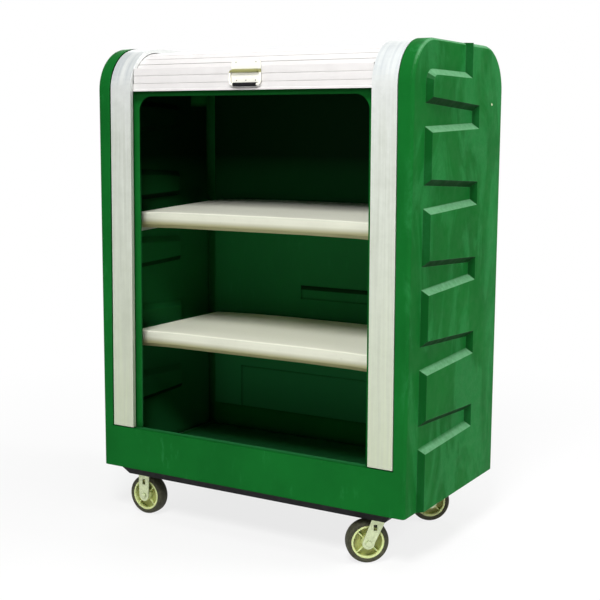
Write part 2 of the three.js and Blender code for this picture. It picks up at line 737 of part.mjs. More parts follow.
// The slats that stand in the front curve. The lowest is thinned where the door panel passes it.
function frontCurveSlats() {
  const group = new THREE.Group();
  const count = Math.floor(SLATS_PER_CURVE) - 1;
  const panelRoom = boxSolid(
    new THREE.Vector3(CABINET_WIDTH, DOOR_BACK + SEAT_GAP, CABINET_HEIGHT),
    new THREE.Vector3(0, (DOOR_BACK + SEAT_GAP) / 2, CURVE_START),
  );
  for (let index = 0; index < count; index += 1) {
    const angle = QUARTER_TURN - (index + 0.5) * SLAT_ANGLE;
    const last = index === count - 1;
    const placed = slatOnCurve(slatSolid(!last), EAR_RADIUS, angle, -1);
    const solid = last ? placed.subtract(panelRoom) : placed;
    group.add(piece(`front_curve_slat_${index + 1}`, solid, materials.white));
  }
  return group;
}

// The slats that stand in the back curve.
function backCurveSlats() {
  const group = new THREE.Group();
  const count = Math.ceil(SLATS_PER_CURVE);
  for (let index = 0; index < count; index += 1) {
    const angle = QUARTER_TURN - (index + 0.5) * SLAT_ANGLE;
    const slat = slatSolid(index < count - 1);
    const solid = slatOnCurve(slat, CABINET_DEPTH - EAR_RADIUS, angle, 1);
    group.add(piece(`back_curve_slat_${index + 1}`, solid, materials.white));
  }
  return group;
}

// Outline of slats in a row, joined at their grooves, from start to end along the path.
function ribbedOutline(start, end, count) {
  const pitch = (end - start) / count;
  const outer = [[start, 0]];
  for (let index = count - 1; index >= 0; index -= 1) {
    const left = start + index * pitch;
    const right = left + pitch;
    if (index === count - 1) {
      outer.push([right, 0], [right, SLAT_THICKNESS - GROOVE_DEPTH]);
    }
    outer.push([right - SLAT_EDGE_RADIUS, SLAT_THICKNESS]);
    outer.push([(left + right) / 2, SLAT_THICKNESS + SLAT_BULGE]);
    outer.push([left + SLAT_EDGE_RADIUS, SLAT_THICKNESS]);
    outer.push([left, SLAT_THICKNESS - GROOVE_DEPTH]);
  }
  return outer;
}

// Fifteen or so slats lie flat on the roof between the two curves.
function roofSlats() {
  const start = EAR_RADIUS + SLAT_JOINT_GAP;
  const end = CABINET_DEPTH - EAR_RADIUS - SLAT_JOINT_GAP;
  const roof = CABINET_TOP - SLAT_BACK_DEPTH;
  const count = Math.round((end - start) / SLAT_PITCH);
  const outline = ribbedOutline(start, end, count).map(([y, rise]) => new THREE.Vector2(y, roof + rise));
  return piece("roof_slats", alongX(new THREE.Shape(outline), -SLAT_HALF, SLAT_HALF), materials.white);
}

// The run of slats behind the cabinet while the door is open. It ends at the tail bar.
function backCurtain() {
  const start = TAIL_TOP + SLAT_JOINT_GAP;
  const end = CURVE_START - SLAT_PITCH / 2 - SLAT_JOINT_GAP;
  const back = CABINET_DEPTH - SLAT_BACK_DEPTH;
  const count = Math.round((end - start) / SLAT_PITCH);
  const outline = ribbedOutline(start, end, count).map(([z, rise]) => new THREE.Vector2(back + rise, z));
  return piece("back_curtain", alongX(new THREE.Shape(outline), -SLAT_HALF, SLAT_HALF), materials.white);
}

// The stiff bar that ends the tambour behind the cabinet.
function tailBar() {
  const back = CABINET_DEPTH - DOOR_BACK;
  const outline = ribbedOutline(TAIL_BOTTOM, TAIL_TOP, 1).map(([z, rise]) => new THREE.Vector2(back + rise, z));
  return piece("curtain_tail_bar", alongX(new THREE.Shape(outline), -SLAT_HALF, SLAT_HALF), materials.white);
}

// The stiff bottom of the door: a lip and three slats in one extrusion, with guide ends in the channels.
function doorPanel() {
  const slatStart = DOOR_BOTTOM + DOOR_RAIL_HEIGHT;
  const top = DOOR_BOTTOM + DOOR_HEIGHT;
  const outline = ribbedOutline(slatStart, top, DOOR_SLATS).map(([z, rise]) => [DOOR_BACK - rise, z]);
  outline[0] = [DOOR_BACK, DOOR_BOTTOM];
  outline.push([DOOR_FRONT, slatStart - GROOVE_DEPTH], [DOOR_FRONT, DOOR_BOTTOM + DOOR_LIP_HEIGHT]);
  outline.push([DOOR_FRONT - DOOR_LIP_DEPTH, DOOR_BOTTOM + DOOR_LIP_HEIGHT - DOOR_LIP_DEPTH]);
  outline.push([DOOR_FRONT - DOOR_LIP_DEPTH, DOOR_BOTTOM]);
  const half = CHANNEL_INNER - DOOR_SIDE_CLEARANCE;
  const slats = alongX(new THREE.Shape(outline.map(([y, z]) => new THREE.Vector2(y, z))), -half, half);
  const guideEnds = boxSolid(
    new THREE.Vector3(2 * SLAT_HALF, SLAT_THICKNESS, SLAT_LENGTH),
    new THREE.Vector3(0, (DOOR_FRONT + DOOR_BACK) / 2, DOOR_BOTTOM + SLAT_LENGTH / 2),
  );
  const padHeight = HANDLE_RISE + HANDLE_HEIGHT - DOOR_HEIGHT;
  const handlePad = boxSolid(
    new THREE.Vector3(HANDLE_WIDTH - HANDLE_CORNER, SLAT_THICKNESS, padHeight + SLAT_LENGTH),
    new THREE.Vector3(0, (DOOR_FRONT + DOOR_BACK) / 2, top + (padHeight - SLAT_LENGTH) / 2),
  );
  const curtainPocket = boxSolid(
    new THREE.Vector3(OPENING_WIDTH, 2 * CURTAIN_POCKET_DEPTH, CURTAIN_POCKET_HEIGHT),
    new THREE.Vector3(0, DOOR_BACK, DOOR_BOTTOM + CURTAIN_POCKET_RISE + CURTAIN_POCKET_HEIGHT / 2),
  );
  return piece("door_panel", joined([slats, guideEnds, handlePad]).subtract(curtainPocket), materials.white);
}

// The run of slats that follows the door down. While the door is open it is drawn together behind the panel.
function frontCurtain() {
  const front = DOOR_BACK - CURTAIN_POCKET_DEPTH + SEAT_GAP;
  const sheet = boxSolid(
    new THREE.Vector3(OPENING_WIDTH - CURTAIN_NARROWING, CURTAIN_SHEET, CURTAIN_FOLDED),
    new THREE.Vector3(0, front + CURTAIN_SHEET / 2, CURTAIN_FIXED_END - CURTAIN_FOLDED / 2),
  );
  return piece("front_curtain", sheet, materials.white);
}

const HANDLE_BACK = DOOR_FRONT - SLAT_BULGE - SEAT_GAP;
const HANDLE_FRONT = HANDLE_BACK - HANDLE_SHEET;
const HANDLE_BOTTOM = DOOR_BOTTOM + HANDLE_RISE;
const BARREL_Z = HANDLE_BOTTOM + BARREL_RISE;
const BARREL_Y = HANDLE_FRONT - BARREL_STANDOFF;

function rivet(x, z) {
  const geometry = new THREE.CylinderGeometry(
    RIVET_DIAMETER / 2,
    RIVET_DIAMETER / 4,
    RIVET_HEIGHT + HANDLE_SHEET / 2,
    RIVET_FACETS,
  );
  return solidOf(geometry.translate(x, HANDLE_FRONT + (HANDLE_SHEET / 2 - RIVET_HEIGHT) / 2, z));
}

function handleRivets() {
  const low = HANDLE_BOTTOM + RIVET_EDGE_INSET;
  const high = HANDLE_BOTTOM + HANDLE_HEIGHT - RIVET_EDGE_INSET;
  const lower = [-LOWER_RIVET_SPACING, 0, LOWER_RIVET_SPACING].map((x) => rivet(x, low));
  const upper = [-UPPER_RIVET_SPACING / 2, UPPER_RIVET_SPACING / 2].map((x) => rivet(x, high));
  return [...lower, ...upper];
}

// The pressed plate with the rolled barrel that holds the bail's pins.
function handlePlate() {
  const outline = roundedRectangle(
    -HANDLE_WIDTH / 2,
    HANDLE_WIDTH / 2,
    HANDLE_BOTTOM,
    HANDLE_BOTTOM + HANDLE_HEIGHT,
    HANDLE_CORNER / 2,
    HANDLE_CORNER,
  );
  const plate = alongY(outline, HANDLE_FRONT, HANDLE_BACK);
  const barrel = barX(
    BARREL_DIAMETER / 2,
    -BARREL_LENGTH / 2,
    BARREL_LENGTH / 2,
    SHAFT_FACETS,
    BARREL_Y,
    BARREL_Z,
  );
  const saddle = boxSolid(
    new THREE.Vector3(BARREL_LENGTH, BARREL_STANDOFF + HANDLE_SHEET / 2, BARREL_DIAMETER),
    new THREE.Vector3(0, BARREL_Y + (BARREL_STANDOFF + HANDLE_SHEET / 2) / 2, BARREL_Z),
  );
  const bore = (side) =>
    barX(
      BAIL_WIRE / 2 + RUNNING_GAP,
      side * (BARREL_LENGTH / 2 + OVERRUN / 2) - BAIL_PIN / 2 - OVERRUN / 2,
      side * (BARREL_LENGTH / 2 + OVERRUN / 2) + BAIL_PIN / 2 + OVERRUN / 2,
      SHAFT_FACETS,
      BARREL_Y,
      BARREL_Z,
    );
  const whole = joined([plate, barrel, saddle, ...handleRivets()]);
  return piece("handle_plate", cutBy(whole, [bore(-1), bore(1)]), materials.zinc);
}

// The middle line of the bail: pins into the barrel, arms down, a straight bar for the grip.
function bailPath() {
  const half = BAIL_WIDTH / 2;
  const low = BARREL_Z - BAIL_DROP;
  const pinEnd = BARREL_LENGTH / 2 + OVERRUN / 2 - BAIL_PIN / 2;
  const at = (x, z) => new THREE.Vector3(x, BARREL_Y, z);
  const corner = (from, mid, to) => new THREE.QuadraticBezierCurve3(from, mid, to);
  const path = new THREE.CurvePath();
  const small = BAIL_BEND / 2;
  path.add(new THREE.LineCurve3(at(-pinEnd, BARREL_Z), at(small - half, BARREL_Z)));
  path.add(corner(at(small - half, BARREL_Z), at(-half, BARREL_Z), at(-half, BARREL_Z - small)));
  path.add(new THREE.LineCurve3(at(-half, BARREL_Z - small), at(-half, low + BAIL_BEND)));
  path.add(corner(at(-half, low + BAIL_BEND), at(-half, low), at(BAIL_BEND - half, low)));
  path.add(new THREE.LineCurve3(at(BAIL_BEND - half, low), at(half - BAIL_BEND, low)));
  path.add(corner(at(half - BAIL_BEND, low), at(half, low), at(half, low + BAIL_BEND)));
  path.add(new THREE.LineCurve3(at(half, low + BAIL_BEND), at(half, BARREL_Z - small)));
  path.add(corner(at(half, BARREL_Z - small), at(half, BARREL_Z), at(half - small, BARREL_Z)));
  path.add(new THREE.LineCurve3(at(half - small, BARREL_Z), at(pinEnd, BARREL_Z)));
  return path;
}

function handleBail() {
  const corners = Array.from({ length: WIRE_FACETS }, (_, side) => {
    const angle = (2 * Math.PI * side) / WIRE_FACETS;
    return new THREE.Vector2(Math.cos(angle), Math.sin(angle)).multiplyScalar(BAIL_WIRE / 2);
  });
  const section = new THREE.Shape(corners);
  const geometry = new THREE.ExtrudeGeometry(section, { steps: BAIL_STEPS, extrudePath: bailPath() });
  return piece("handle_bail", solidOf(geometry), materials.zinc);
}

function handleGrip() {
  const low = BARREL_Z - BAIL_DROP;
  const half = GRIP_LENGTH / 2;
  const outside = barX(GRIP_DIAMETER / 2, -half, half, SHAFT_FACETS, BARREL_Y, low);
  const bore = barX(BAIL_WIRE / 2 + SEAT_GAP, -half - OVERRUN, half + OVERRUN, SHAFT_FACETS, BARREL_Y, low);
  return piece("handle_grip", outside.subtract(bore), materials.black);
}

// A shelf's section seen from its end, as [y, z] points below the top of the lip.
function shelfSection() {
  const points = [
    [SHELF_FRONT + SHELF_BEVEL, -SHELF_THICKNESS],
    [SHELF_BACK, -SHELF_THICKNESS],
    [SHELF_BACK, -SHELF_LIP],
    [SHELF_FRONT + SHELF_LIP_DEPTH + SHELF_LIP, -SHELF_LIP],
    [SHELF_FRONT + SHELF_LIP_DEPTH, 0],
  ];
  for (let step = 0; step <= CORNER_STEPS; step += 1) {
    const angle = (QUARTER_TURN * step) / CORNER_STEPS;
    points.push([
      SHELF_FRONT + SHELF_NOSE - SHELF_NOSE * Math.sin(angle),
      SHELF_NOSE * Math.cos(angle) - SHELF_NOSE,
    ]);
  }
  points.push([SHELF_FRONT, SHELF_BEVEL - SHELF_THICKNESS]);
  return points;
}

// The hollow under the deck, open below.
function shelfHollow() {
  return [
    [SHELF_FRONT + SHELF_BEVEL + SHELF_WALL, -SHELF_THICKNESS - OVERRUN],
    [SHELF_BACK - SHELF_WALL, -SHELF_THICKNESS - OVERRUN],
    [SHELF_BACK - SHELF_WALL, -SHELF_LIP - SHELF_WALL],
    [SHELF_FRONT + SHELF_NOSE + SHELF_WALL, -SHELF_LIP - SHELF_WALL],
    [SHELF_FRONT + SHELF_WALL, -SHELF_LIP - SHELF_WALL - SHELF_NOSE],
    [SHELF_FRONT + SHELF_WALL, SHELF_BEVEL - SHELF_THICKNESS],
  ];
}

// Runs a section across the shelf. Its middle is flat and each side falls away in an even curve.
function cambered(section, half) {
  const rings = [];
  for (let step = -CAMBER_STEPS; step <= CAMBER_STEPS; step += 1) {
    if (step !== 0) {
      const x = (half * step) / CAMBER_STEPS;
      const share = (Math.abs(step) - 1) / (CAMBER_STEPS - 1);
      const fall = SHELF_CAMBER * share * share;
      rings.push(section.map(([y, z]) => new THREE.Vector3(x, y, z - fall)));
    }
  }
  return loft(rings, flatYZ);
}

// Stiffening ribs along the underside of the deck, from front to back.
function shelfRibs() {
  const ribs = [];
  const top = -SHELF_LIP - SHELF_WALL / 2;
  const pitch = (SHELF_WIDTH - SHELF_WALL) / (SHELF_RIB_COUNT + 1);
  for (let index = 1; index <= SHELF_RIB_COUNT; index += 1) {
    const outline = new THREE.Shape();
    outline.moveTo(SHELF_FRONT + SHELF_NOSE + SHELF_WALL, top);
    outline.lineTo(SHELF_FRONT + SHELF_NOSE + SHELF_WALL, top - SHELF_RIB_HEIGHT);
    outline.lineTo(SHELF_BACK - SHELF_WALL / 2, top - SHELF_RIB_HEIGHT);
    outline.lineTo(SHELF_BACK - SHELF_WALL / 2, top);
    const middle = index * pitch - (SHELF_WIDTH - SHELF_WALL) / 2;
    const fall = SHELF_CAMBER * Math.abs(middle / SHELF_WIDTH);
    const rib = alongX(outline, middle - SHELF_WALL / 2, middle + SHELF_WALL / 2);
    ribs.push(rib.translate([0, 0, -fall]));
  }
  return ribs;
}

// Sets a piece drawn below a shelf's lip at its height, tipped about the shelf's lower front edge.
function setAtShelf(solid, rise, slopeRise) {
  const slope = THREE.MathUtils.radToDeg(Math.atan2(slopeRise, SHELF_BACK - SHELF_FRONT));
  return solid
    .translate([0, -SHELF_FRONT, SHELF_THICKNESS])
    .rotate([slope, 0, 0])
    .translate([0, SHELF_FRONT, CABINET_BOTTOM + rise - SHELF_THICKNESS]);
}

// A moulded shelf: bull-nosed front lip, bevelled underside, slightly cambered deck, hollow and ribbed below.
function shelf(name, rise, slopeRise) {
  const half = SHELF_WIDTH / 2;
  const plan = roundedRectangle(-half, half, SHELF_FRONT, SHELF_BACK, SHELF_CORNER, SHELF_CORNER);
  const low = -SHELF_THICKNESS - SHELF_CAMBER - OVERRUN;
  const outside = cambered(shelfSection(), half).intersect(alongZ(plan, low, OVERRUN));
  const innerPlan = roundedRectangle(
    SHELF_WALL - half,
    half - SHELF_WALL,
    SHELF_FRONT,
    SHELF_BACK,
    SHELF_CORNER,
    SHELF_CORNER,
  );
  const hollow = cambered(shelfHollow(), half).intersect(alongZ(innerPlan, low - OVERRUN, OVERRUN));
  const tray = joined([outside.subtract(hollow), ...shelfRibs()]);
  return piece(name, setAtShelf(tray, rise, slopeRise), materials.cream);
}

// An aluminium angle on the inner side of a raised box. Its foot carries one end of a shelf.
function shelfRail(name, rise, slopeRise, side) {
  const top = -SHELF_THICKNESS - SHELF_CAMBER - SEAT_GAP;
  const low = top - RAIL_LEG;
  const outer = raisedHalfAt(CABINET_BOTTOM + rise + top) - WALL;
  const inner = SHELF_WIDTH / 2 - RAIL_REACH;
  const outline = new THREE.Shape();
  outline.moveTo(side * (outer + WALL / 2), low);
  outline.lineTo(side * (outer + WALL / 2), top);
  outline.lineTo(side * inner, top);
  outline.lineTo(side * inner, top - RAIL_SHEET);
  outline.lineTo(side * (outer - RAIL_SHEET), top - RAIL_SHEET);
  outline.lineTo(side * (outer - RAIL_SHEET), low);
  outline.closePath();
  const angle = setAtShelf(alongY(outline, RAIL_FRONT, RAIL_FRONT + RAIL_LENGTH), rise, slopeRise);
  return piece(name, angle.intersect(cabinetSpace(SEAT_GAP)), materials.aluminium);
}

// One fork leg, seen along the axle: it tapers from the top to a round end about the axle.
function forkLeg(trail, top, y) {
  const outline = new THREE.Shape();
  outline.moveTo(-LEG_TOP_WIDTH / 2, top);
  outline.lineTo(LEG_TOP_WIDTH / 2, top);
  outline.lineTo(trail + LEG_END_RADIUS, AXLE_HEIGHT);
  outline.absarc(trail, AXLE_HEIGHT, LEG_END_RADIUS, 0, -Math.PI, true);
  outline.closePath();
  const inner = FORK_GAP / 2;
  const [low, high] = y > 0 ? [inner, inner + FORK_SHEET] : [-inner - FORK_SHEET, -inner];
  const slotCentre = AXLE_HEIGHT + LEG_SLOT_RISE;
  const lean = (trail * (top - slotCentre)) / (top - AXLE_HEIGHT);
  const slot = boxSolid(
    new THREE.Vector3(LEG_SLOT_WIDTH, 2 * PLATE_WIDTH, LEG_SLOT_HEIGHT),
    new THREE.Vector3(lean, 0, slotCentre),
  );
  return alongY(outline, low, high, ARC_STEPS / 2).subtract(slot);
}

function forkLegs(trail, top) {
  return [forkLeg(trail, top, -1), forkLeg(trail, top, 1)];
}

function axleBore(trail) {
  return barY(AXLE_DIAMETER / 2 + RUNNING_GAP, -PLATE_WIDTH, PLATE_WIDTH, SHAFT_FACETS, trail, AXLE_HEIGHT);
}

// The mounting plate with its four bolt heads underneath.
function mountingPlate() {
  const outline = roundedRectangle(
    -PLATE_LENGTH / 2,
    PLATE_LENGTH / 2,
    -PLATE_WIDTH / 2,
    PLATE_WIDTH / 2,
    PLATE_CORNER,
    PLATE_CORNER,
  );
  const low = CASTER_HEIGHT - PLATE_THICKNESS;
  const pieces = [alongZ(outline, low, CASTER_HEIGHT)];
  for (const x of [BOLT_INSET - PLATE_LENGTH / 2, PLATE_LENGTH / 2 - BOLT_INSET]) {
    for (const y of [BOLT_INSET - PLATE_WIDTH / 2, PLATE_WIDTH / 2 - BOLT_INSET]) {
      const head = barZ(
        BOLT_HEAD_DIAMETER / 2,
        low - BOLT_HEAD_THICKNESS,
        CASTER_HEIGHT - PLATE_THICKNESS / 2,
        HEX_FACETS,
      );
      pieces.push(head.translate([x, y, 0]));
    }
  }
  return joined(pieces);
}

// A rigid caster's fork: the legs are welded to the mounting plate.
function rigidFork(name) {
  const top = CASTER_HEIGHT - PLATE_THICKNESS / 2;
  const whole = joined([mountingPlate(), ...forkLegs(0, top)]);
  return piece(name, whole.subtract(axleBore(0)), materials.zinc);
}

const RACEWAY_LOW = CASTER_HEIGHT - PLATE_THICKNESS - RACEWAY_HEIGHT;
const CROWN_TOP = RACEWAY_LOW - RACEWAY_GAP;
const CROWN_LOW = CROWN_TOP - CROWN_THICKNESS;

// A swivel caster's fixed half: the mounting plate with its ball raceway.
function swivelPlate(name) {
  const raceway = barZ(
    RACEWAY_DIAMETER / 2,
    RACEWAY_LOW,
    CASTER_HEIGHT - PLATE_THICKNESS / 2,
    WHEEL_FACETS,
  );
  const bore = barZ(KINGPIN_DIAMETER / 2 + RUNNING_GAP, RACEWAY_LOW - OVERRUN, CASTER_HEIGHT + OVERRUN, SHAFT_FACETS);
  return piece(name, mountingPlate().add(raceway).subtract(bore), materials.zinc);
}

// A swivel caster's turning half: a crown plate with two legs that trail behind the kingpin.
function swivelFork(name) {
  const outerY = FORK_GAP / 2 + FORK_SHEET;
  const crown = alongZ(
    roundedRectangle(-CROWN_HALF_LENGTH, CROWN_HALF_LENGTH, -outerY, outerY, PLATE_CORNER, PLATE_CORNER),
    CROWN_LOW,
    CROWN_TOP,
  );
  const bore = barZ(KINGPIN_DIAMETER / 2 + RUNNING_GAP, CROWN_LOW - OVERRUN, CROWN_TOP + OVERRUN, SHAFT_FACETS);
  const whole = joined([crown, ...forkLegs(CASTER_TRAIL, CROWN_TOP - CROWN_THICKNESS / 2)]);
  return piece(name, cutBy(whole, [bore, axleBore(CASTER_TRAIL)]), materials.zinc);
}

function kingpin(name) {
  const headTop = CROWN_LOW - SEAT_GAP;
  const shaft = barZ(KINGPIN_DIAMETER / 2, headTop - SEAT_GAP, CASTER_HEIGHT - SEAT_GAP, SHAFT_FACETS);
  const head = barZ(KINGPIN_HEAD_DIAMETER / 2, headTop - KINGPIN_HEAD_THICKNESS, headTop, HEX_FACETS);
  return piece(name, shaft.add(head), materials.zinc);
}

function wheelAxle(name, trail) {
  const legOuter = FORK_GAP / 2 + FORK_SHEET + SEAT_GAP;
  const end = legOuter + AXLE_HEAD_THICKNESS;
  const shaft = barY(AXLE_DIAMETER / 2, -end, end, SHAFT_FACETS, trail, AXLE_HEIGHT);
  const head = barY(AXLE_HEAD_DIAMETER / 2, -end, -legOuter, HEX_FACETS, trail, AXLE_HEIGHT);
  const nut = barY(AXLE_HEAD_DIAMETER / 2, legOuter, end, HEX_FACETS, trail, AXLE_HEIGHT);
  return piece(name, joined([shaft, head, nut]), materials.zinc);
}

// The moulded wheel centre: rim, web, boss and spokes.
function wheelHub(name, trail) {
  const rimOuter = HUB_DIAMETER / 2;
  const rim = barY(rimOuter, -HUB_WIDTH / 2, HUB_WIDTH / 2, WHEEL_FACETS, 0, 0).subtract(
    barY(rimOuter - HUB_RIM, -HUB_WIDTH, HUB_WIDTH, HUB_FACETS, 0, 0),
  );
  const web = barY(rimOuter - HUB_RIM / 2, -HUB_WEB / 2, HUB_WEB / 2, HUB_FACETS, 0, 0);
  const boss = barY(HUB_BOSS_DIAMETER / 2, -HUB_BOSS_LENGTH / 2, HUB_BOSS_LENGTH / 2, SHAFT_FACETS, 0, 0);
  const spokes = [];
  const reach = rimOuter - HUB_RIM / 2;
  for (let index = 0; index < SPOKE_COUNT / 2; index += 1) {
    const geometry = new THREE.BoxGeometry(2 * reach, SPOKE_WIDTH, SPOKE_THICKNESS);
    spokes.push(solidOf(geometry.rotateY((2 * Math.PI * (index + 0.5)) / SPOKE_COUNT)));
  }
  const bore = barY(AXLE_DIAMETER / 2 + RUNNING_GAP, -HUB_BOSS_LENGTH, HUB_BOSS_LENGTH, SHAFT_FACETS, 0, 0);
  const hub = joined([rim, web, boss, ...spokes]).subtract(bore);
  return piece(name, hub.translate([trail, 0, AXLE_HEIGHT]), materials.nylon);
}

// The rubber tyre: a lathed ring with a crowned tread and rounded shoulders.
function wheelTyre(name, trail) {
  const inner = HUB_DIAMETER / 2 + SEAT_GAP;
  const outer = WHEEL_DIAMETER / 2;
  const half = TREAD_WIDTH / 2;
  const seat = HUB_WIDTH / 2;
  const profile = [
    new THREE.Vector2(inner, -seat),
    new THREE.Vector2(inner, seat),
    new THREE.Vector2((inner + outer) / 2, half),
    new THREE.Vector2(outer - TREAD_CROWN, half - TREAD_CROWN / 2),
    new THREE.Vector2(outer, half / 3),
    new THREE.Vector2(outer, -half / 3),
    new THREE.Vector2(outer - TREAD_CROWN, TREAD_CROWN / 2 - half),
    new THREE.Vector2((inner + outer) / 2, -half),
    new THREE.Vector2(inner, -seat),
  ];
  const geometry = new THREE.LatheGeometry(profile.reverse(), WHEEL_FACETS);
  const ring = solidOf(geometry);
  return piece(name, ring.translate([trail, 0, AXLE_HEIGHT]), materials.rubber);
}

function rigidCaster(place, x, y) {
  const group = new THREE.Group();
  group.add(rigidFork(`${place}_fork`));
  group.add(wheelAxle(`${place}_axle`, 0));
  group.add(wheelHub(`${place}_hub`, 0));
  group.add(wheelTyre(`${place}_tyre`, 0));
  group.position.set(x, y, 0);
  return group;
}

function swivelCaster(place, x, y) {
  const group = new THREE.Group();
  group.add(swivelPlate(`${place}_plate`));
  group.add(kingpin(`${place}_kingpin`));
  const turning = new THREE.Group();
  turning.add(swivelFork(`${place}_fork`));
  turning.add(wheelAxle(`${place}_axle`, CASTER_TRAIL));
  turning.add(wheelHub(`${place}_hub`, CASTER_TRAIL));
  turning.add(wheelTyre(`${place}_tyre`, CASTER_TRAIL));
  turning.rotation.z = SWIVEL_HEADING;
  group.add(turning);
  group.position.set(x, y, 0);
  return group;
}

function casters() {
  const group = new THREE.Group();
  const x = HALF_WIDTH - CASTER_END_INSET;
  const back = CABINET_DEPTH - BACK_CASTER_INSET;
  group.add(rigidCaster("front_left", -x, FRONT_CASTER_INSET));
  group.add(rigidCaster("back_left", -x, back));
  group.add(swivelCaster("front_right", x, FRONT_CASTER_INSET));
  group.add(swivelCaster("back_right", x, back));
  return group;
}

function cart() {
  const group = new THREE.Group();
  group.add(cabinetShell());
  group.add(basePan());
  group.add(channel("left_channel", -1));
  group.add(channel("right_channel", 1));
  group.add(frontCurveSlats());
  group.add(backCurveSlats());
  group.add(roofSlats());
  group.add(backCurtain());
  group.add(tailBar());
  group.add(doorPanel());
  group.add(frontCurtain());
  group.add(handlePlate());
  group.add(handleBail());
  group.add(handleGrip());
  group.add(shelf("upper_shelf", UPPER_SHELF_RISE, UPPER_SHELF_SLOPE_RISE));
  group.add(shelf("lower_shelf", LOWER_SHELF_RISE, LOWER_SHELF_SLOPE_RISE));
  group.add(shelfRail("upper_left_rail", UPPER_SHELF_RISE, UPPER_SHELF_SLOPE_RISE, -1));
  group.add(shelfRail("upper_right_rail", UPPER_SHELF_RISE, UPPER_SHELF_SLOPE_RISE, 1));
  group.add(shelfRail("lower_left_rail", LOWER_SHELF_RISE, LOWER_SHELF_SLOPE_RISE, -1));
  group.add(shelfRail("lower_right_rail", LOWER_SHELF_RISE, LOWER_SHELF_SLOPE_RISE, 1));
  group.add(casters());
  group.position.y = -CABINET_DEPTH / 2;
  return group;
}

const wholeCart = new THREE.Group();
wholeCart.add(cart());

export default wholeCart;
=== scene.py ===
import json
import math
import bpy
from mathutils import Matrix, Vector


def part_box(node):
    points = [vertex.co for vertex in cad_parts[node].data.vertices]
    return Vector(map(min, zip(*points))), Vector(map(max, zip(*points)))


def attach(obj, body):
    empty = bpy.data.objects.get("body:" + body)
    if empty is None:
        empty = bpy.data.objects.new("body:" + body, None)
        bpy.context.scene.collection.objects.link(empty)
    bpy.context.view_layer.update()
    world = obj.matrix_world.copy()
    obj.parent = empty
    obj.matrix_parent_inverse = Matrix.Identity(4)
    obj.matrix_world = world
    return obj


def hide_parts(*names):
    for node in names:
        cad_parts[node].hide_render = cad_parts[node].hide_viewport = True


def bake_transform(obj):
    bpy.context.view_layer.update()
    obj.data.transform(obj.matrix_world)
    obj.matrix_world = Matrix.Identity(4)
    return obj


bl_info = {
    "name": "Tambour Door Cart",
    "version": (1, 0, 0),
    "blender": (4, 5, 0),
    "location": "View3D > Sidebar > Cart",
    "description": "Dresses the packed tambour door cart and sets up its studio",
    "category": "Object",
}

import bmesh
import bpy
from mathutils import Matrix, Vector

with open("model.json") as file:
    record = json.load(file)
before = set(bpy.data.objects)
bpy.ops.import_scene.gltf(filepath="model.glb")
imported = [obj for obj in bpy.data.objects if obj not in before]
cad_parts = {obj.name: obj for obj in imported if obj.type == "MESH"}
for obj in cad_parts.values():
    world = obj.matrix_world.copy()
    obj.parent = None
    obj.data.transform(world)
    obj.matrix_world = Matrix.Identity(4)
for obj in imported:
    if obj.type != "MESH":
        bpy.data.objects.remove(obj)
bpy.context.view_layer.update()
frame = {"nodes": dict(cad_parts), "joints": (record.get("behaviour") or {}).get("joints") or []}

MM = 0.001
X, Y, Z = range(3)
QUARTER_TURN = math.pi / 2
BACKWARDS = Vector((0, 1, 0))
UPWARDS = Vector((0, 0, 1))
WHEEL_PLACES = ("front_left", "back_left", "front_right", "back_right")
SWIVEL_PLACES = ("front_right", "back_right")

# Where the cabinet's and the channels' finish changes, in metres: from the start of a change to its full
# strength, and for the slot's height on to where it fades and ends. A half width or half depth is counted
# from the middle plane.

OUTSIDE_HALF_WIDTH = (0.630, 0.645)
RELIEF_HALF_WIDTH = (0.650, 0.660)
RELIEF_DEPTH = (-0.300, -0.290)
REAR_DEPTH = (0.200, 0.300)
SILL_FRONT_DEPTH = (-0.310, -0.320)
ROOM_HALF_WIDTH = (0.632, 0.626)
ROOM_HALF_DEPTH = (0.362, 0.350)
BACK_WALL_DEPTH = (0.250, 0.300)
ROOF_HALF_DEPTH = (0.250, 0.240)
ROOF_HEIGHT = (1.755, 1.745)
CURVE_FOOT_HEIGHT = (1.620, 1.600)
LOW_ROOM_HEIGHT = (0.750, 0.620)
HIGH_ROOM_HEIGHT = (1.150, 1.400)
HEADER_FRONT_DEPTH = (-0.335, -0.345)
DOORWAY_HALF_WIDTH = (0.515, 0.505)
SLOT_HEIGHT = (0.838, 0.843, 0.857, 0.860)
SLOT_HALF_WIDTH = (0.179, 0.177)
SLOT_FLOOR_DEPTH = (0.334, 0.3345)
FILM_HEIGHT = (1.650, 0.300)
MARKS_HEIGHT = (1.720, 1.450)
CABINET_MIDDLE = (0.0, 0.0, 1.0)  # the point that faces inside the cabinet look towards
SOFT_SAMPLES = 6  # for rounded edges and for corners in the finishes

# Small measures and angles of the pieces made here

WELD = 0.01 * MM  # points closer than this are one
FLAT_ANGLE = 0.6  # degrees; faces that bend by less are joined before their edges are rounded
ROUND_ANGLE = 30.0  # degrees; an edge that bends by more is rounded
WIRE_ROUND_ANGLE = 50.0  # the same, for the handle's bail and grip
SMOOTH_ANGLE = 40.0  # degrees; an edge that bends by less is shaded smooth
SLAT_SMOOTH_ANGLE = 50.0  # the same, for the slats
SLAT_END = 1 * MM  # softening of a slat's two ends
ARC_STEPS = 4  # on each rounded edge of a slat
CROWN_STEPS = 8  # across a slat's crowned face
CURVE_SLATS = {"front": 6, "back": 8}
RUN_THINNER = 1.4 * MM  # how much thinner a slat of the straight runs is, to clear the channels
RUN_GAP = 0.3 * MM  # from such a slat to the rail or bar that it stacks in
HALVINGS = 50  # to find the point of a blend where a slat follows by its share
RIVET_SIGHT = Vector((1.5, 0.2615, 1.602))  # from where the right side is looked at for its rivet
RIVET_FOOT = -0.5 * MM  # the rivet's foot, inside the side's wall
RIVET_RIM = 0.3 * MM  # its rim, out of the side
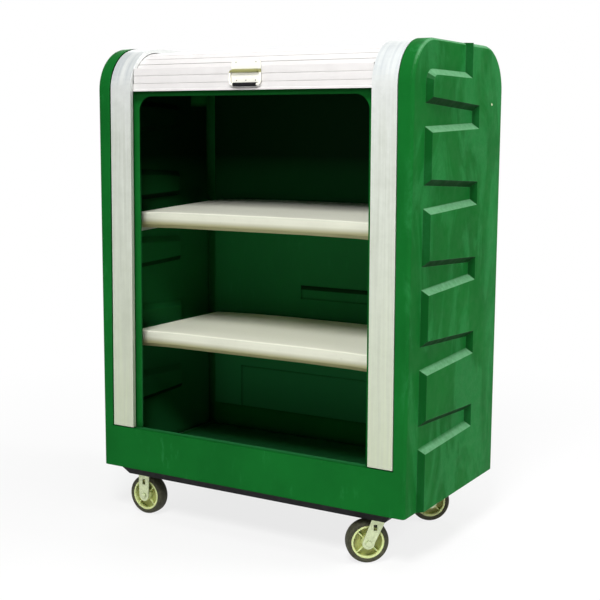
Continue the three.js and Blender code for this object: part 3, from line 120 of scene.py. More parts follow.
RIVET_DOME = 0.9 * MM  # its dome, over the rim
RIVET_STEPS = 20  # around the rivet
DOME_TURNS = (0.4, 0.8, 1.15, 1.4)  # up the dome, in radians
NEARLY_AXIS = 0.0005 * MM  # how close to its axis the dome ends
PLATE_RIVETS = 2.1 * MM  # from the handle plate's back to its rivet heads
HALF_TREAD = 25.4 * MM  # half the width of a tyre
RIM_RADIUS = 58.8 * MM  # inner radius of a tyre
FLOOR_GAP = 0.05 * MM  # from a tyre's tread to the floor
TYRE_STEPS = 96  # around a tyre

# The studio: each lamp's name, place and size in metres

LAMPS = (
    ("key", (1.7, -4.6, 5.7), 1.8),
    ("side", (5.2, 1.6, 3.6), 1.8),
    ("top", (1.0, -0.5, 4.6), 2.4),
    ("front", (0.8, -5.0, 0.7), 2.0),
    ("back", (-3.4, 3.9, 3.0), 2.4),
)
LAMP_AIM = Vector((0, 0, 0.9))  # the middle of the cart
SENSOR_WIDTH = 36  # millimetres
FLOOR_REACH = 14.0  # metres from the middle to each side


# Sizes, colours and view that a user may change


def length(name, description, default):
    return bpy.props.FloatProperty(
        name=name, description=description, default=default, subtype="DISTANCE", unit="LENGTH", precision=4
    )


def angle(name, description, degrees):
    return bpy.props.FloatProperty(
        name=name, description=description, default=math.radians(degrees), subtype="ANGLE", unit="ROTATION"
    )


def number(name, description, default):
    return bpy.props.FloatProperty(name=name, description=description, default=default)


def colour(name, description, default):
    return bpy.props.FloatVectorProperty(
        name=name, description=description, default=default, subtype="COLOR", size=3, min=0, max=1
    )


class CartSizes(bpy.types.PropertyGroup):
    """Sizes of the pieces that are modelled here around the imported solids."""

    slat_count: bpy.props.IntProperty(
        name="Front run slats", description="Slats that the door draws down", default=45
    )
    slats_per_curve: number("Slats per curve", "Slats that fill a quarter-circle curve", 7.5)
    slat_thickness: length("Slat thickness", "Back face to front edge of a slat", 8 * MM)
    slat_crown: length("Slat crown", "How far a slat's middle stands above its edges", 0.8 * MM)
    slat_gap: length("Slat gap", "Gap between neighbouring slats", 0.4 * MM)
    slat_edge: length("Slat edge radius", "Rounding of a slat's long edges", 1.5 * MM)
    curve_radius: length("Curve radius", "To the back of the slats in the curves", 135.3 * MM)
    channel_reach: length("Channel reach", "Half length of a slat between the channels' lips", 505 * MM)
    shelf_round: length("Shelf rounding", "Rounding of the shelves' moulded edges", 4 * MM)
    rivet_radius: length("Rivet radius", "Small rivet near the top of the right side", 4.5 * MM)
    edge_round: length("Edge rounding", "Rounding of pressed and moulded edges", 1.2 * MM)
    tyre_groove: length("Tyre groove depth", "Depth of the fine lines beside the tread", 0.8 * MM)


class CartColours(bpy.types.PropertyGroup):
    """Colours of the finishes."""

    green: colour("Green", "Moulded cabinet", (0.0052, 0.114, 0.0165))
    # Scuffs and frosted haze, and the painted highlight at the rear of the sides
    green_worn: colour("Worn green", "Scuffed cabinet plastic", (0.028, 0.225, 0.062))
    # Painted shade: the duller, darker green of the cabinet's room
    indoor_green: colour("Indoor green", "Dull plastic inside the cabinet", (0.012, 0.100, 0.029))
    # Chalky wear mixed with painted highlights on the ledges, edges, rear and sill
    ledge_green: colour("Ledge green", "Chalky plastic on the ledges and edges", (0.135, 0.335, 0.172))
    black: colour("Black", "Pan and grip", (0.010, 0.010, 0.011))
    aluminium: colour("Aluminium", "Channels and rails", (0.66, 0.68, 0.665))
    oxide: colour("Oxide", "Dull yellowish film on the aluminium", (0.54, 0.60, 0.41))
    # Painted reflection: bluish-grey bands on the channels' bends
    drawn_grey: colour("Drawn grey", "Bands where the channels are bent", (0.36, 0.40, 0.43))
    slat_white: colour("Slat white", "Tambour slats and door panel", (0.72, 0.70, 0.69))
    cream: colour("Cream", "Shelves", (0.62, 0.63, 0.52))
    # Painted light: the paler up-facing deck of the shelves
    deck_cream: colour("Deck cream", "Sun-bleached top of the shelves", (0.97, 0.98, 0.83))
    # Painted shade on the shelves' undersides and lips
    shaded_cream: colour("Shaded cream", "Soiled underside of the shelves", (0.33, 0.32, 0.15))
    nylon: colour("Cream nylon", "Wheel centres", (0.70, 0.78, 0.35))
    # Painted shade in the wheel centres' recesses and web
    nylon_soiled: colour("Soiled nylon", "Web of the wheel centres", (0.37, 0.40, 0.12))
    rubber: colour("Rubber", "Tyres", (0.042, 0.042, 0.026))
    zinc: colour("Zinc", "Casters", (0.58, 0.65, 0.40))
    handle_cream: colour("Handle cream", "Paint on the handle", (0.97, 0.96, 0.86))
    # Partly the barrel's yellowish passivate, partly a painted reflection of dark surroundings
    olive: colour("Olive", "Passivated barrel of the handle", (0.26, 0.26, 0.09))
    # Painted shade on the handle's rivet heads
    rivet_head: colour("Rivet head", "Worn heads of the handle's rivets", (0.10, 0.10, 0.07))
    plate_rim: colour("Plate rim", "Shaded rim of the handle's plate", (0.30, 0.30, 0.22))
    # Painted shade in the handle's corners
    handle_grime: colour("Handle grime", "Dirt in the handle's corners", (0.09, 0.09, 0.07))


class CartView(bpy.types.PropertyGroup):
    """Camera and studio."""

    camera_x: length("Camera X", "Camera place along the width", 2.3083)
    camera_y: length("Camera Y", "Camera place along the depth", -3.8584)
    camera_z: length("Camera Z", "Camera height", 1.5035)
    heading: angle("Heading", "Camera heading, to the left of straight back", 30.72)
    dip: angle("Dip", "Camera pitch below the horizon", 5.76)
    roll: angle("Roll", "Camera roll", 0.30)
    focal: number("Focal length", "In millimetres", 70.48)
    rise: number("Shift", "Vertical lens shift", -0.0852)
    key_power: number("Key light", "Watts", 362.0)
    side_power: number("Side light", "Watts", 185.0)
    top_power: number("Top light", "Watts", 54.0)
    back_power: number("Back light", "Watts", 85.0)
    front_power: number("Front light", "Watts", 42.0)
    world_light: number("Room light", "Strength of the room", 0.055)
    floor_grey: number("Floor grey", "How pale the floor is to the light", 0.93)
    floor_white: number("Floor white", "How far the floor under the cart fades to white", 0.80)
    fade_start: length("Fade start", "Where the floor starts to fade further", 0.7)
    fade_end: length("Fade end", "Where the floor has faded wholly to white", 3.2)


def sizes():
    return bpy.context.scene.cart_sizes


def colours():
    return bpy.context.scene.cart_colours


def joint(name):
    return next(j for j in frame["joints"] if j["name"] == name)


# Finishes


class Tree:
    """The node tree of a material or a world, cleared and filled anew."""

    def __init__(self, owner, output):
        owner.use_nodes = True
        self.tree = owner.node_tree
        self.tree.nodes.clear()
        self.surface = self.node(output).inputs["Surface"]

    def node(self, kind, **values):
        made = self.tree.nodes.new(kind)
        for key, value in values.items():
            setattr(made, key, value)
        return made

    def link(self, source, target):
        self.tree.links.new(source, target)

    def feed(self, socket, value):
        """Links a socket to an output, or gives it a plain value."""
        if hasattr(value, "is_output"):
            self.link(value, socket)
        else:
            socket.default_value = value

    def give(self, node, **values):
        """Feeds a node's inputs by name, with an underscore for each space in a name."""
        for key, value in values.items():
            self.feed(node.inputs[key.replace("_", " ")], value)
        return node

    def range(self, value, low, high, to_low=0.0, to_high=1.0):
        """Goes from to_low to to_high as the value goes from low to high, and no further."""
        made = self.node("ShaderNodeMapRange")
        self.give(made, Value=value, From_Min=low, From_Max=high, To_Min=to_low, To_Max=to_high)
        return made.outputs["Result"]

    def chain(self, operation, first, *others):
        """Joins a value with each of the others in turn."""
        for other in others:
            made = self.node("ShaderNodeMath", operation=operation)
            self.feed(made.inputs[0], first)
            self.feed(made.inputs[1], other)
            first = made.outputs[0]
        return first

    def times(self, *values):
        return self.chain("MULTIPLY", *values)

    def either(self, *values):
        return self.chain("MAXIMUM", *values)

    def vectors(self, operation, first, second):
        made = self.node("ShaderNodeVectorMath", operation=operation)
        self.feed(made.inputs[0], first)
        self.feed(made.inputs[1], second)
        return made.outputs["Value" if operation == "DOT_PRODUCT" else "Vector"]

    def seen(self):
        """One where the camera, a glossy ray or a transmission ray looks."""
        rays = self.node("ShaderNodeLightPath").outputs
        return self.either(rays["Is Camera Ray"], rays["Is Glossy Ray"], rays["Is Transmission Ray"])


class Finish(Tree):
    """A material under construction. Its base colour is laid on coat by coat."""

    def __init__(self, name):
        self.material = bpy.data.materials.new(name)
        super().__init__(self.material, "ShaderNodeOutputMaterial")
        self.shader = self.node("ShaderNodeBsdfPrincipled")
        self.link(self.shader.outputs[0], self.surface)
        self.place = self.node("ShaderNodeTexCoord").outputs["Object"]
        self.normal = self.node("ShaderNodeNewGeometry").outputs["Normal"]
        self.base = None

    def mix(self, share, first, second):
        """The first colour where the share is zero, the second where it is one."""
        made = self.node("ShaderNodeMix", data_type="RGBA")
        self.link(share, made.inputs["Factor"])
        for name, value in (("A", first), ("B", second)):
            socket = next(s for s in made.inputs if s.name == name and s.type == "RGBA")
            self.feed(socket, value if hasattr(value, "is_output") else (*value, 1.0))
        return next(s for s in made.outputs if s.type == "RGBA")

    def lay(self, coat, *shares):
        """Lays a colour over the base, as thick as the product of the shares."""
        self.base = self.mix(self.times(*shares), self.base, coat)

    def done(self, **values):
        """The material, with its coats and with other values for the shader."""
        self.give(self.shader, Base_Color=self.base, **values)
        return self.material

    def noise(self, scale, detail, roughness=0.5, stretch=None, distortion=0.0):
        """Clouds from zero to one. A small number in stretch draws them out along that axis."""
        place = self.place
        if stretch:
            mapping = self.give(self.node("ShaderNodeMapping"), Vector=place, Scale=stretch)
            place = mapping.outputs["Vector"]
        made = self.node("ShaderNodeTexNoise")
        self.give(made, Vector=place, Scale=scale, Detail=detail, Roughness=roughness, Distortion=distortion)
        return made.outputs["Fac"]

    def bump(self, height, distance, strength, under=None):
        """The height as relief, on top of another normal where one is given."""
        made = self.give(self.node("ShaderNodeBump"), Height=height, Distance=distance, Strength=strength)
        if under is not None:
            self.link(under, made.inputs["Normal"])
        return made.outputs["Normal"]

    def rounded(self, radius):
        return self.give(self.node("ShaderNodeBevel", samples=SOFT_SAMPLES), Radius=radius).outputs["Normal"]

    def edges(self, radius, low, high):
        """One along sharp edges, zero on flat faces."""
        return self.range(self.vectors("DOT_PRODUCT", self.rounded(radius), self.normal), high, low)

    def corners(self, reach, low, high):
        """One deep in a corner or a groove, zero on open faces."""
        made = self.give(self.node("ShaderNodeAmbientOcclusion", samples=SOFT_SAMPLES), Distance=reach)
        return self.range(made.outputs["AO"], high, low)

    def part(self, source, axis):
        made = self.node("ShaderNodeSeparateXYZ")
        self.link(source, made.inputs[0])
        return made.outputs[axis]

    def away(self, value):
        """A value without its sign."""
        made = self.node("ShaderNodeMath", operation="ABSOLUTE")
        self.link(value, made.inputs[0])
        return made.outputs[0]

    def along(self, axis, low, high):
        """Grows from zero to one as a point moves from low to high along an axis."""
        return self.range(self.part(self.place, axis), low, high)

    def band(self, axis, start, full, fade, end):
        """Grows from zero to one between start and full, and falls to zero between fade and end."""
        return self.times(self.along(axis, start, full), self.along(axis, end, fade))

    def beyond(self, axis, low, high):
        """Grows from zero to one as a point's distance from the middle plane goes from low to high."""
        return self.range(self.away(self.part(self.place, axis)), low, high)

    def facing(self, axis, low, high):
        """Grows from zero to one as the face's direction along an axis goes from low to high."""
        return self.range(self.part(self.normal, axis), low, high)

    def outwards(self, low, high):
        """Grows from zero to one as a face turns away from the middle plane across the width."""
        return self.range(self.times(self.part(self.normal, X), self.part(self.place, X)), low, high)

    def faces_middle(self):
        """One on faces that look towards the middle of the cabinet, zero on those that look away."""
        outwards = self.vectors("SUBTRACT", self.place, CABINET_MIDDLE)
        return self.range(self.vectors("DOT_PRODUCT", self.normal, outwards), 0.02, -0.02)

    def near_plane(self, centre, normal, far, near):
        """Zero beyond the far distance from a plane, one within the near distance."""
        depth = self.vectors("DOT_PRODUCT", self.vectors("SUBTRACT", self.place, centre), normal)
        return self.range(self.away(depth), far, near)


def tint(value, factor):
    return tuple(min(1.0, part * factor) for part in value)


def weather_outside(finish, outside):
    """Frosted haze, scuffs and chalky wear, with painted highlights on the ledges and edges, as a streaked
    pale band at the rear and along the sill's top edge.
    """
    c = colours()
    haze = finish.range(finish.noise(5.0, 9.0, 0.62, (1.0, 1.0, 0.38), 0.9), 0.52, 0.60, 0.0, 0.55)
    frost = finish.range(finish.noise(120.0, 6.0, 0.7), 0.3, 0.7, 0.35, 1.0)
    finish.lay(c.green_worn, haze, frost, outside)
    scuffs = finish.range(finish.noise(30.0, 8.0, 0.75, (1.0, 1.0, 0.3)), 0.56, 0.74)
    patches = finish.range(finish.noise(4.5, 3.0), 0.46, 0.62, 0.0, 0.6)
    finish.lay(c.green_worn, scuffs, patches)
    # Painted highlight on the relief's up-facing ledges and along the outside's edges, mixed with chalky
    # wear.
    chalk = finish.range(finish.noise(55.0, 6.0, 0.7), 0.25, 0.7, 0.45, 1.0)
    ledges = finish.times(finish.facing(Z, 0.3, 0.6), finish.beyond(X, *RELIEF_HALF_WIDTH))
    finish.lay(c.ledge_green, ledges, outside, chalk)
    finish.lay(c.ledge_green, finish.edges(4 * MM, 0.80, 0.99), outside, chalk, 0.65)
    # Painted highlight: a pale band where the rear of the side turns, clouded and streaked.
    rear = finish.times(finish.along(Y, *REAR_DEPTH), outside, 0.34)
    cloud = finish.range(finish.noise(9.0, 6.0, 0.65, (1.0, 1.0, 0.3)), 0.35, 0.7, 0.3, 1.0)
    finish.lay(c.green_worn, rear, cloud)
    streaks = finish.range(finish.noise(1.0, 6.0, 0.7, (60.0, 60.0, 5.0)), 0.56, 0.70, 0.0, 0.5)
    finish.lay(c.ledge_green, rear, streaks)
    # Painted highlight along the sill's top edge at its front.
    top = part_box("left_channel")[0].z
    sill_top = finish.band(Z, top - 14 * MM, top - 10 * MM, top + 4 * MM, top + 8 * MM)
    sill_front = finish.along(Y, *SILL_FRONT_DEPTH)
    finish.lay(c.ledge_green, finish.edges(3 * MM, 0.80, 0.98), sill_top, sill_front, 0.8)


def shade_relief(finish, outside):
    """Paints shade on the faces of the sides' relief that look forwards or down."""
    green = colours().green
    relief = finish.times(outside, finish.along(Y, *RELIEF_DEPTH))
    finish.lay(tint(green, 0.28), finish.facing(Y, -0.35, -0.6), relief, 0.62)
    finish.lay(tint(green, 0.15), finish.facing(Z, -0.2, -0.5), relief, 0.85)


def dull_room(finish):
    """Painted shade in the cabinet's room: duller and darker than the outside, with painted light low down,
    and darker on faces that look down, at the top, in grooves, under the door's panel and in the pressed
    slot.
    """
    c = colours()
    under_roof = finish.times(finish.along(Z, *ROOF_HEIGHT), finish.beyond(Y, *ROOF_HALF_DEPTH))
    below_roof = finish.either(under_roof, finish.along(Z, *CURVE_FOOT_HEIGHT))
    sides = finish.times(finish.outwards(-0.02, -0.06), below_roof)
    back_wall = finish.times(finish.facing(Y, -0.3, -0.6), finish.along(Y, *BACK_WALL_DEPTH))
    indoors = finish.either(finish.beyond(X, *ROOM_HALF_WIDTH), sides, back_wall)
    indoors = finish.times(indoors, finish.beyond(Y, *ROOM_HALF_DEPTH), finish.faces_middle())
    # Painted shade: the room's faces are duller and darker.
    finish.lay(c.indoor_green, indoors, 0.6)
    # Painted light: the low part of the room is paler.
    finish.lay(tint(c.indoor_green, 1.7), indoors, finish.along(Z, *LOW_ROOM_HEIGHT), 0.75)
    # Painted shade on faces inside that look down.
    finish.lay(tint(c.green, 0.1), indoors, finish.facing(Z, -0.15, -0.4), 0.85)
    # Painted shade near the top of the room.
    finish.lay(tint(c.green, 0.05), indoors, finish.along(Z, *HIGH_ROOM_HEIGHT), 0.93)
    # Painted shadow of the door's panel on the header's front face.
    door_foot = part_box("door_panel")[0].z
    header = finish.along(Z, door_foot - 50 * MM, door_foot - 30 * MM)
    header = finish.times(header, finish.along(Y, *HEADER_FRONT_DEPTH), finish.beyond(X, *DOORWAY_HALF_WIDTH))
    finish.lay(tint(c.green, 0.1), header, 0.85)
    # Painted shade in the room's grooves and corners.
    finish.lay(tint(c.green, 0.1), indoors, finish.corners(12 * MM, 0.55, 0.9), 0.8)
    # Painted shadow under the pressed slot's upper lip.
    slot = finish.times(finish.band(Z, *SLOT_HEIGHT), finish.beyond(X, *SLOT_HALF_WIDTH))
    slot = finish.times(slot, finish.along(Y, *SLOT_FLOOR_DEPTH), finish.facing(Y, -0.1, -0.3))
    finish.lay(tint(c.green, 0.08), slot, 0.9)


def moulded_green():
    """Rotomoulded polyethylene: orange peel and cloudy colour, worn and with painted highlights outside,
    painted shade inside, on the relief and in corners.
    """
    finish = Finish("moulded_green")
    green = colours().green
    clouds = finish.range(finish.noise(3.0, 4.0, 0.6), 0.3, 0.7)
    finish.base = finish.mix(clouds, tint(green, 0.84), tint(green, 1.14))
    finish.lay(tint(green, 1.4), finish.range(finish.noise(420.0, 2.0), 0.52, 0.75, 0.0, 0.25))
    outside = finish.times(finish.beyond(X, *OUTSIDE_HALF_WIDTH), finish.outwards(-0.06, -0.02))
    weather_outside(finish, outside)
    shade_relief(finish, outside)
    dull_room(finish)
    # Painted shade in the corners and at the foot of the relief.
    finish.lay(tint(green, 0.15), finish.corners(35 * MM, 0.45, 0.85), 0.6)
    peel = finish.bump(finish.noise(230.0, 2.0), 0.22 * MM, 0.5, finish.rounded(5 * MM))
    grain = finish.bump(finish.noise(1100.0, 2.0), 0.08 * MM, 0.5, peel)
    roughness = finish.range(finish.noise(30.0, 5.0), 0.3, 0.7, 0.40, 0.56)
    return finish.done(Roughness=roughness, Normal=grain, Specular_IOR_Level=0.02)


def moulded_black():
    """Moulded pan and grip: matte black under light dust."""
    finish = Finish("moulded_black")
    black = colours().black
    dust = finish.range(finish.noise(40.0, 6.0, 0.7), 0.5, 0.8, 0.0, 0.6)
    finish.base = finish.mix(dust, black, tint(black, 2.2))
    roughness = finish.range(finish.noise(60.0, 4.0), 0.3, 0.7, 0.5, 0.7)
    grain = finish.bump(finish.noise(500.0, 2.0), 0.2 * MM, 0.5, finish.rounded(2 * MM))
    return finish.done(Roughness=roughness, Normal=grain, Specular_IOR_Level=0.08)


def satin_aluminium():
    """Mill-finish extrusion: fine draw lines, a yellowish film, dull handling marks, a painted reflection as
    bluish-grey bands on the bends and painted highlights along the edges.
    """
    finish = Finish("satin_aluminium")
    c = colours()
    streaks = finish.range(finish.noise(1.0, 5.0, 0.65, (90.0, 5.0, 2.2)), 0.35, 0.68)
    marks = finish.range(finish.noise(11.0, 7.0, 0.7), 0.38, 0.68)
    finish.base = finish.mix(marks, tint(c.aluminium, 0.92), tint(c.aluminium, 1.08))
    finish.lay(c.oxide, finish.along(Z, *FILM_HEIGHT), finish.range(streaks, 0.0, 1.0, 0.6, 1.0))
    dull = finish.times(finish.range(streaks, 0.0, 1.0, 0.42, 0.05), finish.along(Z, *MARKS_HEIGHT))
    finish.lay(tint(c.oxide, 0.6), dull)
    # Painted reflection: bluish-grey streaked bands on the faces where the channels bend.
    bent = finish.times(finish.facing(Z, 0.08, 0.35), finish.facing(Z, 0.97, 0.85))
    bands = finish.range(finish.noise(1.0, 3.0, 0.6, (70.0, 2.0, 2.0)), 0.35, 0.62, 0.0, 0.55)
    finish.lay(c.drawn_grey, bent, bands)
    # Painted highlight along the channels' edges.
    finish.lay(tint(c.aluminium, 1.5), finish.edges(2.5 * MM, 0.80, 0.98), 0.7)
    roughness = finish.range(marks, 0.0, 1.0, 0.52, 0.36)
    lines = finish.noise(1.0, 4.0, 0.6, (900.0, 6.0, 6.0))
    drawn = finish.bump(lines, 0.12 * MM, 0.45, finish.rounded(1.5 * MM))
    return finish.done(Roughness=roughness, Normal=drawn, Metallic=0.45)


def slat_plastic():
    """Extruded white plastic: faint draw lines along the slat, light dust, painted shade in the joints."""
    finish = Finish("slat_plastic")
    white = colours().slat_white
    dust = finish.range(finish.noise(14.0, 6.0, 0.6), 0.42, 0.75)
    finish.base = finish.mix(dust, white, tint(white, 0.94))
    worn = finish.range(finish.noise(1.0, 5.0, 0.7, (3.0, 160.0, 160.0)), 0.5, 0.75, 0.0, 0.5)
    finish.lay(tint(white, 0.90), worn)
    # Painted shade in the joints between slats.
    finish.lay(tint(white, 0.4), finish.corners(4 * MM, 0.35, 0.9), 0.6)
    roughness = finish.range(finish.noise(50.0, 4.0), 0.3, 0.7, 0.34, 0.46)
    lines = finish.bump(finish.noise(1.0, 3.0, 0.5, (5.0, 700.0, 700.0)), 0.1 * MM, 0.35)
    return finish.done(Roughness=roughness, Normal=lines, Specular_IOR_Level=0.35)


def moulded_cream():
    """Moulded shelf plastic: pebble grain, a scratched deck paled by painted light, painted shade below and
    under the lip.
    """
    finish = Finish("moulded_cream")
    c = colours()
    clouds = finish.range(finish.noise(5.0, 5.0, 0.6), 0.3, 0.7)
    finish.base = finish.mix(clouds, tint(c.cream, 0.95), tint(c.cream, 1.05))
    # Painted light: up-facing deck faces are paler.
    finish.lay(c.deck_cream, finish.facing(Z, 0.7, 0.9), 0.96)
    scratches = finish.range(finish.noise(5.0, 8.0, 0.75, (1.0, 22.0, 1.0), 0.4), 0.6, 0.74, 0.0, 0.35)
    finish.lay(tint(c.cream, 0.95), scratches)
    finish.lay(tint(c.cream, 0.72), finish.range(finish.noise(90.0, 4.0, 0.6), 0.66, 0.72, 0.0, 0.5))
    # Painted shade on faces that look down.
    finish.lay(c.shaded_cream, finish.facing(Z, -0.12, -0.6), 0.85)
    # Painted shade on the lower part of each shelf's front lip.
    for node in ("upper_shelf", "lower_shelf"):
        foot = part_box(node)[0].z
        lip = finish.band(Z, foot - 30 * MM, foot - 20 * MM, foot + 22 * MM, foot + 42 * MM)
        finish.lay(tint(c.shaded_cream, 0.8), finish.facing(Y, -0.4, -0.7), lip, 0.95)
    roughness = finish.range(clouds, 0.0, 1.0, 0.44, 0.56)
    grain = finish.bump(finish.noise(600.0, 2.0), 0.12 * MM, 0.5, finish.rounded(3 * MM))
    return finish.done(Roughness=roughness, Normal=grain, Specular_IOR_Level=0.3)


def cream_nylon(name="cream_nylon", centre=None, axle=None):
    """Moulded nylon with painted shade in its recesses and on the web. A centre and an axle find the web
    between the spokes.
    """
    finish = Finish(name)
    c = colours()
    clouds = finish.range(finish.noise(60.0, 4.0), 0.35, 0.7)
    finish.base = finish.mix(clouds, c.nylon, tint(c.nylon, 0.86))
    finish.lay(tint(c.nylon, 0.55), finish.range(finish.noise(160.0, 5.0, 0.7), 0.55, 0.75, 0.0, 0.5))
    # Painted shade in the recesses and, below, on the web between the spokes.
    finish.lay(c.nylon_soiled, finish.corners(20 * MM, 0.35, 0.95), 0.8)
    if centre is not None:
        finish.lay(c.nylon_soiled, finish.near_plane(centre, axle, 16 * MM, 6 * MM))
    roughness = finish.range(clouds, 0.0, 1.0, 0.38, 0.5)
    grain = finish.bump(finish.noise(700.0, 2.0), 0.1 * MM, 0.4)
    return finish.done(Roughness=roughness, Normal=grain, Specular_IOR_Level=0.3, Subsurface_Weight=0.05)


def tyre_rubber():
    """Moulded rubber, greyed by dust."""
    finish = Finish("tyre_rubber")
    rubber = colours().rubber
    dust = finish.range(finish.noise(70.0, 6.0, 0.7), 0.42, 0.75)
    finish.base = finish.mix(dust, rubber, tint(rubber, 2.2))
    roughness = finish.range(dust, 0.0, 1.0, 0.6, 0.85)
    grain = finish.bump(finish.noise(900.0, 3.0), 0.2 * MM, 0.5)
    return finish.done(Roughness=roughness, Normal=grain, Specular_IOR_Level=0.2)


def plated(name, sheet_colour, metallic, contrast):
    """The first coat of a plated or painted sheet: a faint spangle and roughened handling marks."""
    finish = Finish(name)
    cloud = finish.range(finish.noise(120.0, 5.0, 0.6), 0.3, 0.7)
    finish.base = finish.mix(cloud, tint(sheet_colour, 1 - contrast), tint(sheet_colour, 1 + contrast))
    roughness = finish.range(cloud, 0.0, 1.0, 0.46, 0.30)
    grain = finish.bump(finish.noise(800.0, 3.0), 0.06 * MM, 0.4, finish.rounded(0.8 * MM))
    finish.give(finish.shader, Metallic=metallic, Roughness=roughness, Normal=grain)
    return finish


def plated_zinc():
    """Zinc plate on the casters, with painted shade in the corners."""
    zinc = colours().zinc
    finish = plated("plated_zinc", zinc, 0.5, 0.15)
    # Painted shade in the corners.
    finish.lay(tint(zinc, 0.25), finish.corners(20 * MM, 0.3, 0.8), 0.6)
    return finish.done()


def handle_paint(name, rivet_front=None):
    """Cream paint on the handle; the barrel olive, partly its yellowish passivate and partly a painted
    reflection of dark surroundings; painted shade on the rivet heads, the plate's rim and the corners.
    """
    c = colours()
    finish = plated(name, c.handle_cream, 0.1, 0.03)
    if rivet_front is not None:
        # Painted shade on the rivet heads.
        finish.lay(c.rivet_head, finish.along(Y, rivet_front, rivet_front - 0.4 * MM))
        # Painted shade on the plate's rim.
        finish.lay(c.plate_rim, finish.range(finish.part(finish.normal, Y), -0.95, -0.7, 0.0, 0.75))
    hinge = joint("bail_hinge")["pos_m"][Z]
    barrel = finish.band(Z, hinge - 7.5 * MM, hinge - 5.5 * MM, hinge + 5.5 * MM, hinge + 7.5 * MM)
    # Olive barrel: its yellowish passivate, darkened by a painted reflection.
    finish.lay(c.olive, barrel)
    # Painted shade in the handle's corners.
    finish.lay(c.handle_grime, finish.corners(5 * MM, 0.3, 0.85), 0.5)
    return finish.done()


FINISHES = {
    "green_plastic": moulded_green,
    "black_plastic": moulded_black,
    "aluminium": satin_aluminium,
    "white_slats": slat_plastic,
    "cream_plastic": moulded_cream,
    "cream_nylon": cream_nylon,
    "rubber": tyre_rubber,
    "plated_steel": plated_zinc,
}


def finish_for(slot):
    maker = FINISHES[slot]
    return bpy.data.materials.get(maker.__name__) or maker()


def paint(obj, slot):
    obj.data.materials.clear()
    obj.data.materials.append(finish_for(slot))
    return obj


def paint_node(node, slot):
    for holder in frame["nodes"][node].material_slots:
        holder.material = finish_for(slot)


# Meshes


def object_from(name, builder, matrix=None):
    """An object whose mesh is filled by builder(bm) and then placed by matrix."""
    bm = bmesh.new()
    builder(bm)
    if matrix is not None:
        bm.transform(matrix)
    bmesh.ops.recalc_face_normals(bm, faces=bm.faces)
    mesh = bpy.data.meshes.new(name)
    bm.to_mesh(mesh)
    bm.free()
    obj = bpy.data.objects.new(name, mesh)
    bpy.context.scene.collection.objects.link(obj)
    return obj


def smooth_below(obj, degrees):
    """Smooth shading with sharp edges kept above an angle, weighted by face size."""
    limit = math.radians(degrees)
    bm = bmesh.new()
    bm.from_mesh(obj.data)
    for face in bm.faces:
        face.smooth = True
    for edge in bm.edges:
        if len(edge.link_faces) == 2:
            edge.smooth = edge.calc_face_angle(0.0) < limit
    bm.to_mesh(obj.data)
    bm.free()
    obj.modifiers.new("weighted", "WEIGHTED_NORMAL").keep_sharp = True


def dressed_copy(node, slot, body, rounding, degrees=ROUND_ANGLE):
    """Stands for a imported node: the same form with the edges that bend by more than the angle rounded."""
    limit = math.radians(degrees)

    def builder(bm):
        bm.from_mesh(frame["nodes"][node].data)
        bmesh.ops.remove_doubles(bm, verts=bm.verts, dist=WELD)
        bmesh.ops.dissolve_limit(
            bm,
            angle_limit=math.radians(FLAT_ANGLE),
            verts=bm.verts,
            edges=bm.edges,
            use_dissolve_boundaries=False,
        )
        sharp = [e for e in bm.edges if len(e.link_faces) == 2 and e.calc_face_angle(0.0) > limit]
        bmesh.ops.bevel(
            bm, geom=sharp, offset=rounding, segments=2, profile=0.5, affect="EDGES", clamp_overlap=True
        )

    obj = object_from(node + "_dressed", builder)
    smooth_below(obj, SMOOTH_ANGLE)
    paint(obj, slot)
    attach(obj, body)
    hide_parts(node)
    return obj


def bridge(bm, first, second):
    """Faces between two rings of equally many points."""
    for i in range(len(first)):
        j = (i + 1) % len(first)
        bm.faces.new((first[i], first[j], second[j], second[i]))


def prism(bm, outline, start, end, edge):
    """A closed outline of (along, outwards) points run from x = start to x = end with softened ends."""
    middle = Vector((sum(p[0] for p in outline), sum(p[1] for p in outline))) / len(outline)

    def ring(x, inset):
        points = []
        for point in map(Vector, outline):
            direction = point - middle
            share = max(0.0, 1 - inset / max(direction.length, 1e-9))
            drawn = middle + direction * share
            points.append(bm.verts.new((x, drawn.x, drawn.y)))
        return points

    rings = [ring(start, edge), ring(start + edge, 0.0), ring(end - edge, 0.0), ring(end, edge)]
    for first, second in zip(rings, rings[1:]):
        bridge(bm, first, second)
    bm.faces.new(rings[0])
    bm.faces.new(rings[-1])


def lathe(bm, profile, steps):
    """Turns a closed profile of (radius, y) points about the y axis."""
    rings = []
    for step in range(steps):
        turn = 2 * math.pi * step / steps
        rings.append([bm.verts.new((r * math.cos(turn), y, r * math.sin(turn))) for r, y in profile])
    for index in range(steps):
        bridge(bm, rings[index], rings[(index + 1) % steps])


def basis(across, along, outwards, at):
    """Matrix that takes x to across, y to along and z to outwards."""
    matrix = Matrix.Identity(4)
    for column, vector in enumerate((across, along, outwards, at)):
        for row in range(3):
            matrix[row][column] = vector[row]
    return matrix


def slat_outline(width, thickness):
    """Profile of a slat: flat back, rounded long edges, crowned face."""
    crown = sizes().slat_crown
    radius = sizes().slat_edge
    half = width / 2
    back_edge = radius / 3
    points = [(-half, back_edge), (-half + back_edge, 0), (half - back_edge, 0), (half, back_edge)]
    flat = half - radius
    rise = thickness - radius
    turns = [QUARTER_TURN * step / ARC_STEPS for step in range(ARC_STEPS + 1)]
    for turn in turns:
        points.append((flat + radius * math.cos(turn), rise + radius * math.sin(turn)))
    for step in range(1, CROWN_STEPS):
        along = flat * (1 - 2 * step / CROWN_STEPS)
        points.append((along, thickness + crown * (1 - (along / flat) ** 2)))
    for turn in turns:
        points.append((-flat - radius * math.sin(turn), rise + radius * math.cos(turn)))
    return points


